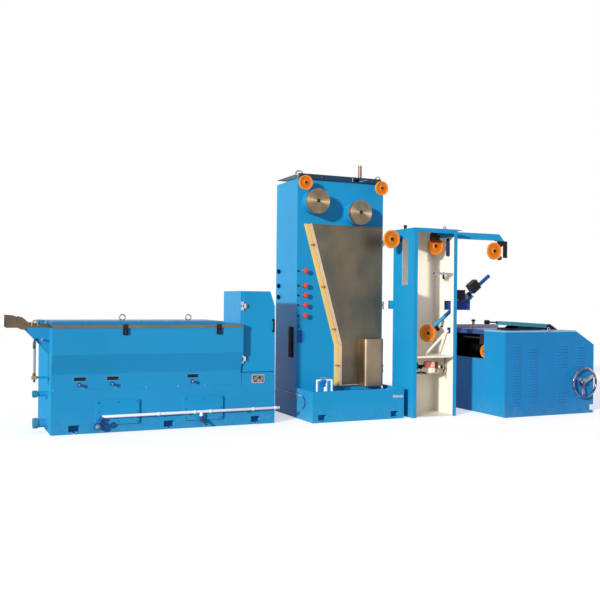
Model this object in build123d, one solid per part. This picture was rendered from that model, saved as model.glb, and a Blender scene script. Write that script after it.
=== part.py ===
"""A wire drawing line of four stations: drawing machine, annealing tower, dancer and take-up.

Millimetres. +X runs along the row in the direction of the wire, +Y away from the operator
and +Z up. The origin is on the floor under the middle of the whole line.
"""

from build123d import *
import math
import os

# The row along X, from the tip of the inlet chute to the end of the take-up
chute_reach = 481.0
machine_length = 2787.0
machine_to_tower = 445.0
tower_width = 1328.0
base_step = 42.0
base_to_dancer = 104.0
dancer_width = 701.0
dancer_to_takeup = 519.0
takeup_length = 1583.0

# The fronts along Y, counted back from the front of the take-up
handwheel_reach = 110.0
takeup_to_dancer = 416.0
takeup_to_tower_base = 480.0
takeup_to_machine = 693.0
takeup_to_tower = 1028.0
machine_depth = 1300.0
tower_depth = 735.0
dancer_depth = 555.0
takeup_depth = 1400.0

line_length = (
    chute_reach + machine_length + machine_to_tower + tower_width + base_step
    + base_to_dancer + dancer_width + dancer_to_takeup + takeup_length
)
line_depth = handwheel_reach + takeup_to_machine + machine_depth

machine_x0 = -line_length / 2 + chute_reach
machine_x1 = machine_x0 + machine_length
tower_x0 = machine_x1 + machine_to_tower
tower_x1 = tower_x0 + tower_width
base_x1 = tower_x1 + base_step
dancer_x0 = base_x1 + base_to_dancer
dancer_x1 = dancer_x0 + dancer_width
takeup_x0 = dancer_x1 + dancer_to_takeup
takeup_x1 = takeup_x0 + takeup_length

takeup_y0 = -line_depth / 2 + handwheel_reach
takeup_y1 = takeup_y0 + takeup_depth
dancer_y0 = takeup_y0 + takeup_to_dancer
dancer_y1 = dancer_y0 + dancer_depth
base_y0 = takeup_y0 + takeup_to_tower_base
machine_y0 = takeup_y0 + takeup_to_machine
machine_y1 = machine_y0 + machine_depth
tower_y0 = takeup_y0 + takeup_to_tower
tower_y1 = tower_y0 + tower_depth

# Clearances
door_gap = 0.5
seat_gap = 0.3
pin_gap = 0.3
run_gap = 6.0

# Drawing machine
bed_height = 520.0
sill_height = 665.0
undercut_sill = 35.0
undercut_rise = 232.0
undercut_z0 = sill_height + undercut_sill
undercut_z1 = undercut_z0 + undercut_rise
tub_proud = 87.0
tub_height = 1240.0
tub_depth = 720.0
tub_end_inset = 470.0
tub_end_x = machine_x1 - tub_end_inset
gearbox_height = 1180.0
rim_height = 36.0
rim_thickness = 6.0
lid_height = 45.0
lid_end_gap = 255.0
lid_split_1 = 337.0
lid_split_2 = 1472.0
lid_joint = 4.0
lid_setback = 14.0
lid_chamfer = 10.0
end_cover_height = 8.0
hopper_inset = 176.0
hopper_width = 320.0
hopper_reach = 246.0
hopper_lip = 40.0
hopper_lean = 6.0
hopper_drop = 305.0
chute_wall = 6.0
chute_floor = 10.0
pocket_width = 128.0
pocket_height = 75.0
pocket_depth = 95.0
pocket_sill = 30.0
pocket_inset = 262.0
bolt_slot = 24.0
cover_width = 510.0
cover_height = 290.0
cover_thickness = 22.0
cover_z = 98.0
cover_x_1 = 511.0
cover_x_2 = 1566.0
cover_corner = 22.0

# Pipes, knobs and latches of the drawing machine
pipe_radius = 21.0
pipe_clearance = 9.0
pipe_z = 205.0
pipe_start = 555.0
pipe_past_end = 26.0
tee_at = 1789.0
tee_drop = 55.0
elbow_drop = 75.0
end_valve_radius = 30.0
end_valve_length = 75.0
branch_radius = 20.0
branch_drop = 60.0
tee_valve_radius = 27.0
tee_valve_length = 90.0
tee_stem_radius = 8.0
tee_stem_drop = 75.0
tee_stem_top = 66.0
tee_lever_length = 70.0
tee_lever_height = 40.0
tee_lever_drop = 130.0
tee_lever_gap = 3.0
clip_radius = 9.0
clip_at = (1250.0, 2250.0)
stub_inset = 300.0
stub_flange = 20.0
upper_stub_z = 455.0
upper_stub_radius = 32.0
upper_stub_reach = 190.0
lower_stub_z = 110.0
lower_stub_radius = 52.0
lower_stub_reach = 150.0
stub_flange_step = 12.0
lower_flange_step = 10.0
level_reach = 185.0
level_offset = 30.0
level_radius = 9.0
level_valve_radius = 20.0
level_top_drop = 85.0
level_foot_drop = 20.0
level_valve_height = 72.0
knob_at = (316.0, 698.0, 1680.0)
knob_rise = 56.0
knob_radius = 20.0
knob_stem = 9.0
knob_proud = 34.0
knob_thickness = 22.0
latch_at = (829.0, 1990.0)
latch_width = 54.0
latch_drop = 80.0
latch_depth = 20.0
latch_hook_width = 40.0
latch_hook_drop = 25.0
latch_hook_rise = 16.0

# End housing of the drawing machine
housing_height = 1701.0
housing_depth = 692.0
housing_chamfer_x = 73.0
housing_chamfer_z = 190.0
housing_taper = 9.0
door_thickness = 25.0
door_inset = 26.0
cavity_wall = 45.0
cavity_depth = 320.0
cavity_top_drop = 241.0
hinge_radius = 11.0
hinge_pin_radius = 6.0
hinge_length = 110.0
hinge_knuckle = 34.0
hinge_pin_gap = 1.0
hinge_leaf_fixed = 20.0
hinge_leaf_moving = 40.0
hinge_leaf_thickness = 5.0
hinge_above_sill = 171.0
hinge_below_top = 191.0
door_bottom_gap = 6.0
door_top_gap = 2.0
door_hinge_offset = 4.0
handle_below_top = 356.0
handle_length = 168.0
handle_inset = 33.0
handle_width = 18.0
handle_thickness = 14.0
handle_reach = 42.0
handle_foot = 12.0

# Annealing tower
tower_base_height = 350.0
base_lip = 57.0
lip_thickness = 20.0
tower_height = 3240.0
cap_thickness = 70.0
cap_inset_left = 52.0
cap_inset_right = 50.0
cap_overhang = 26.0
post_radius = 27.0
post_height = 195.0
wire_plane_tower = 165.0
drum_radius = 168.0
drum_width = 60.0
drum_collar_radius = 164.0
drum_collar_depth = 129.0
drum_left_x = 223.0
drum_left_drop = 312.0
drum_right_x = 872.0
drum_right_drop = 434.0
drum_shaft_radius = 30.0
small_sheave_radius = 98.0
small_sheave_left_x = 43.0
small_sheave_right_x = 1209.0
small_sheave_drop = 75.0
small_boss_radius = 34.0
small_boss_length = 14.0
chamber_depth = 210.0
chamber_frame = 62.0
leaf_top_drop = 610.0
leaf_bottom_rise = 66.0
leaf_top_z = tower_height - leaf_top_drop
leaf_bottom_z = tower_base_height + leaf_bottom_rise
leaf_left_x = 163.0
leaf_right_x = 1292.0
leaf_kink_x = 638.0
leaf_kink_rise = 560.0
leaf_kink_z = leaf_bottom_z + leaf_kink_rise
leaf_thickness = 34.0
seal_thickness = 14.0
seal_width = 62.0
bulge_width = 300.0
bulge_depth = 190.0
bulge_height = 646.0
bulge_inset = 60.0
bulge_corner = 45.0
leaf_hinge_offset = 14.0
leaf_hinge_rise = 224.0
leaf_hinge_drop = 210.0
clamp_from_top = 284.0
clamp_above_kink = (800.0, 221.0)
clamp_above_bottom = 282.0
clamp_foot_near = 12.0
clamp_foot_far = 62.0
clamp_foot_height = 48.0
clamp_foot_proud = 12.0
clamp_stem_radius = 13.0
clamp_stem_length = 48.0
clamp_knob_radius = 24.0
clamp_knob_length = 22.0
button_drops = (1252.0, 1450.0, 1580.0, 1715.0, 1857.0)
button_inset = 130.0
button_radius = 32.0
button_stem = 12.0
button_gap = 16.0
button_thickness = 36.0
cap_back = 20.0
post_inset_x = 1022.0
post_inset_y = 133.0
tower_pocket_inset = 142.0
water_pipe_radius = 14.0
water_valve_radius = 26.0
water_rise = 170.0
water_valve_drop = 14.0
water_forward = 250.0
water_at = (200.0, 330.0, 420.0)

# Dancer
dancer_height = 2597.0
sheet = 6.0
flange_width = 56.0
dancer_wire_y = 242.0
slot_width = 157.0
slot_below_top = 139.0
slot_length = 643.0
slot_z1 = dancer_height - slot_below_top
slot_z0 = slot_z1 - slot_length
head_height = 60.0
floor_thickness = 12.0
shelf_drop = 1757.0
shelf_z = dancer_height - shelf_drop
shelf_lip = 24.0
regulator_setback = 150.0
regulator_inset = 150.0
regulator_below_shelf = 200.0
regulator_length = 180.0
regulator_size = 60.0
regulator_knob_radius = 28.0
regulator_knob_at = 40.0
regulator_knob_height = 90.0
regulator_bowl_radius = 34.0
regulator_bowl_at = 140.0
regulator_bowl_height = 80.0
regulator_stay_at = 75.0
regulator_stay_width = 30.0
pivot_above_shelf = 715.0
pivot_z = shelf_z + pivot_above_shelf
lever_slot_y0 = 140.0
lever_slot_y1 = 305.0
lever_slot_below_pivot = 415.0
lever_slot_above_pivot = 50.0
lever_slot_z0 = pivot_z - lever_slot_below_pivot
lever_slot_z1 = pivot_z + lever_slot_above_pivot
sheave_radius = 125.0
sheave_width = 30.0
shaft_radius = 12.0
outer_sheave_x = -219.0
outer_sheave_drop = 155.0
outer_sheave_z = dancer_height - outer_sheave_drop
top_sheave_x = 495.0
top_sheave_drop = 223.0
top_sheave_z = dancer_height - top_sheave_drop
arm_sheave_x = 1514.0
arm_sheave_drop = 259.0
arm_sheave_z = dancer_height - arm_sheave_drop
arm_height = 90.0
arm_drop = 97.0
arm_z = dancer_height - arm_drop
arm_reach = 1020.0
arm_setback = 30.0
arm_shoulder = 90.0
arm_nose = 95.0
arm_nose_drop = 10.0
arm_underside_step = 110.0
hanger_length = 257.0
hanger_past_tip = 55.0
hanger_inset = 15.0
hanger_shoulder = 105.0
hanger_neck = 70.0
hanger_thickness = 14.0
shaft_proud = 22.0
stay_thickness = 12.0
stay_clearance = 3.5
stay_half = 25.0
bracket_half_width = 55.0
bracket_below_axis = 30.0
lever_angle = 37.9
lever_long = 667.0
lever_short = 680.0
lever_radius = 27.0
sleeve_radius = 44.0
lever_offset = 28.0
sleeve_start = 62.0
sleeve_end = 190.0
lever_hub_radius = 50.0
lever_hub_half = 34.0
lever_plate_length = 170.0
lever_plate_half = 30.0
lever_plate_thickness = 12.0
lever_tube_start = 140.0
weight_start = 294.0
weight_end = 444.0
weight_half = 52.0
weight_low = -32.0
weight_high = 112.0
pivot_x = 907.0
pivot_radius = 20.0
cheek_reach = 165.0
cheek_offset = 52.0
cheek_thickness = 12.0
cheek_below = 82.0
cheek_above = 60.0
sensor_length = 225.0
sensor_gap = 2.0
sensor_height = 142.0
sensor_y0 = -150.0
sensor_y1 = -72.0

# Take-up
takeup_height = 1195.0
takeup_chamfer_x = 346.0
takeup_chamfer_z = 206.0
takeup_wall = 30.0
takeup_foot_height = 35.0
takeup_foot_notch_x = 70.0
takeup_foot_notch_z = 120.0
side_opening_y0 = 485.0
side_opening_y1 = 1180.0
side_opening_below_top = 65.0
side_opening_height = 350.0
side_opening_z1 = takeup_height - side_opening_below_top
side_opening_z0 = side_opening_z1 - side_opening_height
top_sheet = 12.0
foot_length = 242.0
foot_end_gap = 5.0
foot_slope = 15.0
pan_height = 60.0
bay_from_left = 385.0
bay_length = 535.0
bay_from_front = 385.0
bay_depth = 254.0
coaming_wall = 24.0

# Lid over the spool bay
lid_thickness = 55.0
lid_slope = 3.2
lid_from_left = 358.0
lid_length = 650.0
lid_rise = 64.0
lid_from_front = 341.0
lid_depth = 342.0
lid_hinge_reach = 78.0
lid_hinge_rise = 57.0
lid_strap_inset = 70.0
lid_strap_half = 25.0
lid_strap_start = 40.0
lid_barrel_radius = 22.0
lid_pin_radius = 9.0
bracket_inner = 30.0
bracket_thickness = 10.0
bracket_back = 20.0
bracket_front = 150.0
bracket_rise = 24.0
bracket_nose = 14.0
handwheel_radius = 225.0
handwheel_x = 1331.0
handwheel_z = 451.0
handwheel_tube = 16.0
wheel_hub_radius = 40.0
wheel_shaft_radius = 18.0
wheel_spoke_radius = 11.0
boss_radius = 58.0
boss_length = 36.0

# Traverse
guide_radius = 93.0
guide_reach = 60.0
guide_from_front = 541.0
guide_above_sill = 100.0
rail_reach = 110.0
rail_drop = 60.0
rail_radius = 20.0
carriage_half = 25.0
carriage_from_front = 553.0
carriage_depth = 145.0
carriage_gap = 93.0
carriage_above_rail = 69.0
arm_plate = 12.0


def block(x0, x1, y0, y1, z0, z1):
    """A box between two corners."""
    middle = ((x0 + x1) / 2, (y0 + y1) / 2, (z0 + z1) / 2)
    return Pos(*middle) * Box(x1 - x0, y1 - y0, z1 - z0)


def front_profile(points, y0, y1):
    """A prism whose outline is drawn on the front, X and Z, from y0 back to y1."""
    outline = Polyline(*points, close=True)
    face = Plane.XZ * make_face(outline)
    return extrude(Pos(0, y0, 0) * face, amount=y1 - y0, dir=(0, 1, 0))


def side_profile(points, x0, x1):
    """A prism whose outline is drawn on the side, Y and Z, from x0 to x1."""
    outline = Polyline(*points, close=True)
    face = Plane.YZ * make_face(outline)
    return extrude(Pos(x0, 0, 0) * face, amount=x1 - x0, dir=(1, 0, 0))


def bar_x(radius, x0, x1, y, z):
    """A round bar along X."""
    return Pos((x0 + x1) / 2, y, z) * Rot(0, 90, 0) * Cylinder(radius, x1 - x0)


def bar_y(radius, x, y0, y1, z):
    """A round bar along Y."""
    return Pos(x, (y0 + y1) / 2, z) * Rot(90, 0, 0) * Cylinder(radius, y1 - y0)


def bar_z(radius, x, y, z0, z1):
    """A round bar along Z."""
    return Pos(x, y, (z0 + z1) / 2) * Cylinder(radius, z1 - z0)


def sheave(radius, width, bore, x, y, z):
    """A wire sheave on an axis along Y: hub, dished web and a grooved rim."""
    half = width / 2
    groove = 0.09 * radius
    rim = radius - 2.2 * groove
    web = 0.22 * width
    hub = 0.27 * radius
    points = [
        (bore, -half), (hub, -half), (hub, -web), (rim, -web), (rim, -half), (radius, -half),
        (radius - groove, 0), (radius, half), (rim, half), (rim, web), (hub, web), (hub, half), (bore, half),
    ]
    outline = Polyline(*points, close=True)
    wheel = revolve(make_face(outline), axis=Axis.Y)
    return Pos(x, y, z) * wheel


def write(name, shape):
    """One STEP file for one node."""
    export_step(shape, os.path.join("parts", name + ".step"))
    nodes.append(name)


os.makedirs("parts", exist_ok=True)
nodes = []

# Drawing machine: bed with anchor pockets
tub_y1 = machine_y0 + tub_depth


def anchor_pocket(x, y_face, inward):
    """The pocket and bolt slot for one anchor bolt, cut in from a face."""
    y_in = y_face + inward * pocket_depth
    y_out = y_face - inward * 1.0
    y_low = min(y_in, y_out)
    y_high = max(y_in, y_out)
    room = block(x - pocket_width / 2, x + pocket_width / 2, y_low, y_high,
                 pocket_sill, pocket_sill + pocket_height)
    slot = block(x - bolt_slot / 2, x + bolt_slot / 2, y_low, y_high, -1.0, pocket_sill + 1.0)
    return room + slot


bed = block(machine_x0, machine_x1, machine_y0, machine_y1, 0, bed_height)
pocket_step = (machine_length - 2 * pocket_inset) / 2
for index in range(3):
    pocket_x = machine_x0 + pocket_inset + index * pocket_step
    bed -= anchor_pocket(pocket_x, machine_y0, 1)
    bed -= anchor_pocket(pocket_x, machine_y1, -1)
write("drawing_bed", bed)

# Gearbox casing on the bed: the sill under the tub and the tall part behind it
gearbox = side_profile(
    [(machine_y0, bed_height), (machine_y0, sill_height), (tub_y1, sill_height),
     (tub_y1, gearbox_height), (machine_y1, gearbox_height), (machine_y1, bed_height)],
    machine_x0, machine_x1)
write("gearbox_casing", gearbox)

# Tub with its undercut front, proud of the bed
tub_y0 = machine_y0 - tub_proud
tub = side_profile(
    [(machine_y0, sill_height), (machine_y0, undercut_z0), (tub_y0, undercut_z1),
     (tub_y0, tub_height), (tub_y1, tub_height), (tub_y1, sill_height)],
    machine_x0, tub_end_x)
write("drawing_tub", tub)

# Stainless rim on the tub
rim_z1 = tub_height + rim_height
write("tub_rim", block(machine_x0 - rim_thickness, tub_end_x, tub_y0 - rim_thickness, tub_y1, tub_height, rim_z1))

# Three lift-off lids on the rim
lid_x0 = machine_x0 - rim_thickness
lid_x1 = tub_end_x - lid_end_gap
lid_y0 = tub_y0 + lid_setback
lid_edges = [lid_x0, machine_x0 + lid_split_1, machine_x0 + lid_split_2, lid_x1]
lids = []
for index in range(3):
    left = lid_edges[index] + (lid_joint / 2 if index > 0 else 0)
    right = lid_edges[index + 1] - (lid_joint / 2 if index < 2 else 0)
    pan = block(left, right, lid_y0, tub_y1, rim_z1, rim_z1 + lid_height)
    front_edges = pan.edges().filter_by(Axis.X).sort_by(Axis.Z)[-2:]
    lids.append(chamfer(front_edges, lid_chamfer))
end_cover = block(lid_x1 + lid_joint, tub_end_x, lid_y0, tub_y1, rim_z1, rim_z1 + end_cover_height)
write("tub_lids", Compound(children=lids + [end_cover]))

# Inlet end: the hopper that carries the chute
hopper_y0 = machine_y0 + hopper_inset
hopper_y1 = hopper_y0 + hopper_width
hopper_x0 = machine_x0 - hopper_reach
hopper_top_x = hopper_x0 - hopper_lean
hopper = front_profile(
    [(machine_x0, tub_height), (hopper_top_x, tub_height), (hopper_x0, tub_height - hopper_lip),
     (machine_x0, tub_height - hopper_drop)],
    hopper_y0, hopper_y1)
write("inlet_hopper", hopper)

# Stainless inlet chute, open at the top, sloping down to the rim
chute_x0 = machine_x0 - chute_reach
chute_x1 = machine_x0 - rim_thickness
chute_shape = [
    (0, 0), (0, 146.0), (90.0, 140.0), (125.0, 122.0), (165.0, 128.0), (200.0, 105.0), (245.0, 60.0),
]
chute_points = [(chute_x0 + along, tub_height + rise) for along, rise in chute_shape]
chute_points += [
    (chute_x1, rim_z1), (chute_x1, tub_height), (hopper_top_x, tub_height), (hopper_x0 - 20.0, tub_height - 26.0),
    (chute_x0 + 160.0, tub_height - 18.0), (chute_x0 + 130.0, tub_height),
]
chute = front_profile(chute_points, hopper_y0, hopper_y1)
chute_floor_z = tub_height + chute_floor
chute_over = tub_height + 160.0
chute -= front_profile(
    [(chute_x0 - 1.0, chute_floor_z), (chute_x0 - 1.0, chute_over), (chute_x1 + 1.0, chute_over),
     (chute_x1 + 1.0, chute_floor_z + 2.0)],
    hopper_y0 + chute_wall, hopper_y1 - chute_wall)
write("inlet_chute", chute)

# Bolted inspection covers on the bed
cover_y0 = machine_y0 - cover_thickness
covers = []
for cover_x in (machine_x0 + cover_x_1, machine_x0 + cover_x_2):
    plate = block(cover_x, cover_x + cover_width, cover_y0, machine_y0, cover_z, cover_z + cover_height)
    covers.append(fillet(plate.edges().filter_by(Axis.Y), cover_corner))
write("inspection_covers", Compound(children=covers))

# Coolant pipe along the front of the bed, with its two valves
pipe_y = cover_y0 - pipe_clearance - pipe_radius
pipe_x0 = machine_x0 + pipe_start
pipe_x1 = machine_x1 + pipe_past_end
tee_x = machine_x0 + tee_at
tee_foot = pipe_z - tee_drop
elbow_foot = pipe_z - elbow_drop
pipe = bar_x(pipe_radius, pipe_x0, pipe_x1, pipe_y, pipe_z)
pipe += Pos(pipe_x1, pipe_y, pipe_z) * Sphere(pipe_radius)
pipe += bar_z(pipe_radius, tee_x, pipe_y, tee_foot, pipe_z)
pipe += Pos(pipe_x0, pipe_y, pipe_z) * Sphere(pipe_radius)
pipe += bar_z(pipe_radius, pipe_x0, pipe_y, elbow_foot, pipe_z)
for clip_x in clip_at:
    pipe += bar_y(clip_radius, machine_x0 + clip_x, pipe_y, machine_y0, pipe_z)
write("coolant_pipe", pipe)

end_valve = bar_z(end_valve_radius, pipe_x0, pipe_y, elbow_foot - end_valve_length, elbow_foot)
end_valve += bar_y(branch_radius, pipe_x0 - 1.0, pipe_y, machine_y0, elbow_foot - branch_drop)
tee_valve = bar_z(tee_valve_radius, tee_x, pipe_y, tee_foot - tee_valve_length, tee_foot)
lever_y0 = pipe_y - tee_valve_radius - tee_lever_gap
lever_y1 = lever_y0 + tee_stem_radius
lever_x0 = tee_x - tee_stem_radius
tee_lever_z0 = tee_foot - tee_lever_drop
tee_lever_z1 = tee_lever_z0 + tee_lever_height
tee_valve += block(lever_x0, tee_x + tee_lever_length, lever_y0, lever_y1, tee_lever_z0, tee_lever_z1)
tee_valve += block(lever_x0, tee_x + tee_stem_radius, lever_y0, lever_y1,
                   tee_lever_z1 - tee_lever_height / 2, tee_foot - tee_stem_top)
tee_valve += bar_y(tee_stem_radius, tee_x, lever_y0, pipe_y, tee_foot - tee_stem_drop)
write("coolant_valves", Compound(children=[end_valve, tee_valve]))

# Pipes on the left end of the bed
stub_y = machine_y0 + stub_inset
upper_x = machine_x0 - upper_stub_reach
lower_x = machine_x0 - lower_stub_reach
end_pipes = bar_x(upper_stub_radius, upper_x, machine_x0, stub_y, upper_stub_z)
end_pipes += bar_x(upper_stub_radius + stub_flange_step, upper_x, upper_x + stub_flange, stub_y, upper_stub_z)
end_pipes += bar_x(lower_stub_radius, lower_x, machine_x0, stub_y, lower_stub_z)
end_pipes += bar_x(lower_stub_radius + lower_flange_step, lower_x, lower_x + stub_flange, stub_y, lower_stub_z)

# Level tube clipped to the hopper and screwed into the casing
level_y = hopper_y0 - level_offset
level_x = machine_x0 - level_reach
level_foot = sill_height - level_foot_drop
level_top = tub_height - level_top_drop
level_tube = bar_z(level_radius, level_x, level_y, level_foot + level_valve_height - 32.0, level_top)
level_tube += bar_z(level_valve_radius, level_x, level_y, level_foot, level_foot + level_valve_height)
level_tube += bar_x(14.0, level_x, machine_x0, level_y, level_foot + 18.0)
level_tube += bar_y(6.0, level_x, level_y, hopper_y0, level_top - 10.0)
write("end_pipes", Compound(children=[end_pipes, level_tube]))


# End housing with a compartment behind its door
housing_x0 = tub_end_x
housing_y0 = machine_y0 + door_thickness + door_gap
housing_y1 = machine_y0 + housing_depth
housing_outline = [
    (housing_x0, sill_height), (housing_x0, housing_height), (machine_x1 - housing_chamfer_x, housing_height),
    (machine_x1 - housing_taper, housing_height - housing_chamfer_z), (machine_x1, sill_height),
]
housing = front_profile(housing_outline, housing_y0, housing_y1)
cavity = block(housing_x0 + cavity_wall, machine_x1 - cavity_wall - housing_taper, housing_y0 - 1.0,
               housing_y0 + cavity_depth, sill_height + cavity_wall, housing_height - cavity_top_drop)
housing -= cavity
write("end_housing", housing)

door_x0 = housing_x0 + door_inset
door_z0 = sill_height + door_bottom_gap
door_z1 = housing_height - door_top_gap
door_outline = [
    (door_x0, door_z0), (door_x0, door_z1), (machine_x1 - housing_chamfer_x, door_z1),
    (machine_x1 - housing_taper, housing_height - housing_chamfer_z), (machine_x1, door_z0),
]
door = front_profile(door_outline, machine_y0, machine_y0 + door_thickness)
hinge_x = door_x0 - door_hinge_offset
hinge_y = machine_y0 - hinge_radius


def hinge_parts(x, y, z, length, leaf_y, side):
    """One butt hinge about Z: the fixed pin with its two outer knuckles, and the moving knuckle."""
    low = z - length / 2
    high = z + length / 2
    gap = hinge_pin_gap
    fixed = bar_z(hinge_radius, x, y, low, z - hinge_knuckle / 2)
    fixed += bar_z(hinge_radius, x, y, z + hinge_knuckle / 2, high)
    fixed += bar_z(hinge_pin_radius, x, y, low, high)
    fixed_x = x - side * hinge_leaf_fixed
    fixed += block(min(x, fixed_x), max(x, fixed_x), y, leaf_y, low, z - hinge_knuckle / 2)
    fixed += block(min(x, fixed_x), max(x, fixed_x), y, leaf_y, z + hinge_knuckle / 2, high)
    moving = bar_z(hinge_radius, x, y, z - hinge_knuckle / 2 + gap, z + hinge_knuckle / 2 - gap)
    moving_x = x + side * hinge_leaf_moving
    moving += block(min(x, moving_x), max(x, moving_x), y + hinge_radius - hinge_leaf_thickness, y + hinge_radius,
                    z - hinge_knuckle / 2 + gap, z + hinge_knuckle / 2 - gap)
    moving -= bar_z(hinge_pin_radius + pin_gap, x, y, low - 1.0, high + 1.0)
    return fixed, moving


fixed_leaves = []
for hinge_z in (sill_height + hinge_above_sill, housing_height - hinge_below_top):
    fixed, moving = hinge_parts(hinge_x, hinge_y, hinge_z, hinge_length, housing_y0, 1)
    fixed_leaves.append(fixed)
    door += moving
write("housing_door", door)

handle_x = machine_x1 - handle_inset
handle_y0 = machine_y0 - handle_reach
handle_z1 = housing_height - handle_below_top
handle_z0 = handle_z1 - handle_length
handle = block(handle_x - handle_width / 2, handle_x + handle_width / 2, handle_y0, handle_y0 + handle_thickness,
               handle_z0, handle_z1)
for end_z in (handle_z0 + handle_foot, handle_z1 - handle_foot):
    handle += bar_y(handle_width / 2, handle_x, handle_y0 + handle_foot, machine_y0, end_z)
write("door_handle", handle)

# Tub latches and the knobs on the front
latches = []
hook_z1 = rim_z1 + latch_hook_rise
for latch_from_left in latch_at:
    latch_x = machine_x0 + latch_from_left
    hook_x0 = latch_x - latch_hook_width / 2
    hook_x1 = latch_x + latch_hook_width / 2
    body = block(latch_x - latch_width / 2, latch_x + latch_width / 2, tub_y0 - latch_depth, tub_y0,
                 tub_height - latch_drop, tub_height - 4.0)
    hook = block(hook_x0, hook_x1, tub_y0 - latch_depth - rim_thickness, tub_y0 - 2 * rim_thickness,
                 tub_height - latch_hook_drop, hook_z1)
    hook += block(hook_x0, hook_x1, tub_y0 - latch_depth, lid_y0 - seat_gap, rim_z1 + seat_gap, hook_z1)
    latches.append(body + hook)
write("tub_latches", Compound(children=latches))

knobs = []
knob_z = bed_height + knob_rise
knob_y0 = machine_y0 - knob_proud
for knob_from_left in knob_at:
    knob_x = machine_x0 + knob_from_left
    knobs.append(bar_y(knob_radius, knob_x, knob_y0, knob_y0 + knob_thickness, knob_z)
                 + bar_y(knob_stem, knob_x, knob_y0 + knob_thickness - 1.0, machine_y0, knob_z))

# Annealing tower: water base with a raised lip
base_y1 = tower_y1
tower_base = block(tower_x0, base_x1, base_y0, base_y1, 0, tower_base_height)
for pocket_x in (tower_x0 + tower_pocket_inset, base_x1 - tower_pocket_inset):
    tower_base -= anchor_pocket(pocket_x, base_y0, 1)
lip_z1 = tower_base_height + base_lip
tower_base += block(tower_x0, base_x1, base_y0, base_y0 + lip_thickness, tower_base_height, lip_z1)
tower_base += block(tower_x0, tower_x0 + lip_thickness, base_y0, tower_y0, tower_base_height, lip_z1)
tower_base += block(base_x1 - lip_thickness, base_x1, base_y0, tower_y0, tower_base_height, lip_z1)
write("tower_base", tower_base)

# Annealing tower: casing with the chamber cut in behind the door
tower = block(tower_x0, tower_x1, tower_y0, tower_y1, tower_base_height, tower_height)
leaf_outline = [
    (tower_x0 + leaf_left_x, leaf_top_z), (tower_x0 + leaf_right_x, leaf_top_z), (tower_x0 + leaf_right_x, leaf_bottom_z),
    (tower_x0 + leaf_kink_x, leaf_bottom_z), (tower_x0 + leaf_kink_x, leaf_kink_z),
]


def inset_outline(points, distance, y0, y1):
    """The prism of an outline moved inwards by a distance."""
    face = make_face(Polyline(*points, close=True))
    inner = offset(face, amount=-distance, kind=Kind.INTERSECTION)
    return extrude(Pos(0, y0, 0) * (Plane.XZ * inner), amount=y1 - y0, dir=(0, 1, 0))


chamber = inset_outline(leaf_outline, chamber_frame, tower_y0 - 1.0, tower_y0 + chamber_depth)
tower -= chamber
write("tower_casing", tower)

cap = block(tower_x0 + cap_inset_left, tower_x1 - cap_inset_right, tower_y0 - cap_overhang, tower_y1 + cap_back,
            tower_height, tower_height + cap_thickness)
write("tower_cap", cap)
cap_z1 = tower_height + cap_thickness
post_x = tower_x0 + post_inset_x
post_y = tower_y0 + post_inset_y
write("cap_post", bar_z(post_radius, post_x, post_y, cap_z1, cap_z1 + post_height))

# Seal strip on the casing round the chamber and the door leaf that closes on it
seal = inset_outline(leaf_outline, -seal_width, tower_y0 - seal_thickness, tower_y0)
seal -= inset_outline(leaf_outline, chamber_frame, tower_y0 - seal_thickness - 1.0, tower_y0 + 1.0)
seal &= block(tower_x0 + 4.0, tower_x0 + leaf_right_x, tower_y0 - 40.0, tower_y0 + 5.0, lip_z1 + 1.0, leaf_top_z)
write("door_seal", seal)

leaf_y1 = tower_y0 - seal_thickness - door_gap
leaf_y0 = leaf_y1 - leaf_thickness
leaf = front_profile(leaf_outline, leaf_y0, leaf_y1)
bulge_x1 = tower_x0 + leaf_right_x - bulge_inset
bulge_x0 = bulge_x1 - bulge_width
bulge = block(bulge_x0, bulge_x1, leaf_y0 - bulge_depth, leaf_y0, leaf_bottom_z, leaf_bottom_z + bulge_height)
bulge = fillet(bulge.edges().filter_by(Axis.Z).sort_by(Axis.Y)[:2], bulge_corner)
leaf_hinge_x = tower_x0 + leaf_right_x + leaf_hinge_offset
leaf_hinge_y = leaf_y0 - hinge_radius
leaf += bulge
low_hinge_z = leaf_bottom_z + leaf_hinge_rise
high_hinge_z = leaf_top_z - leaf_hinge_drop
for hinge_z in (low_hinge_z, (low_hinge_z + high_hinge_z) / 2, high_hinge_z):
    fixed, moving = hinge_parts(leaf_hinge_x, leaf_hinge_y, hinge_z, hinge_length, tower_y0, -1)
    fixed_leaves.append(fixed)
    leaf += moving
write("annealer_door", leaf)
write("door_hinges", Compound(children=fixed_leaves))

# Clamps that hold the door leaf along its slanted edge
slant = math.degrees(math.atan2(leaf_top_z - leaf_kink_z, leaf_kink_x - leaf_left_x))
clamps = []
clamp_heights = [leaf_top_z - clamp_from_top]
clamp_heights += [leaf_kink_z + rise for rise in clamp_above_kink]
clamp_heights += [leaf_bottom_z + clamp_above_bottom]
for clamp_z in clamp_heights:
    if clamp_z > leaf_kink_z:
        edge_x = tower_x0 + leaf_left_x + (leaf_top_z - clamp_z) / math.tan(math.radians(slant))
    else:
        edge_x = tower_x0 + leaf_kink_x
    foot_y0 = leaf_y0 - clamp_foot_proud
    stem_y0 = foot_y0 - clamp_stem_length
    stem_x = edge_x - (clamp_foot_near + clamp_foot_far) / 2 + 1.0
    foot = block(edge_x - clamp_foot_far, edge_x - clamp_foot_near, foot_y0, tower_y0 - seal_thickness,
                 clamp_z - clamp_foot_height / 2, clamp_z + clamp_foot_height / 2)
    grip = bar_y(clamp_stem_radius, stem_x, stem_y0, foot_y0, clamp_z)
    grip += bar_y(clamp_knob_radius, stem_x, stem_y0 - clamp_knob_length, stem_y0, clamp_z)
    clamps.append(foot + grip)
write("door_clamps", Compound(children=clamps))

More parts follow.
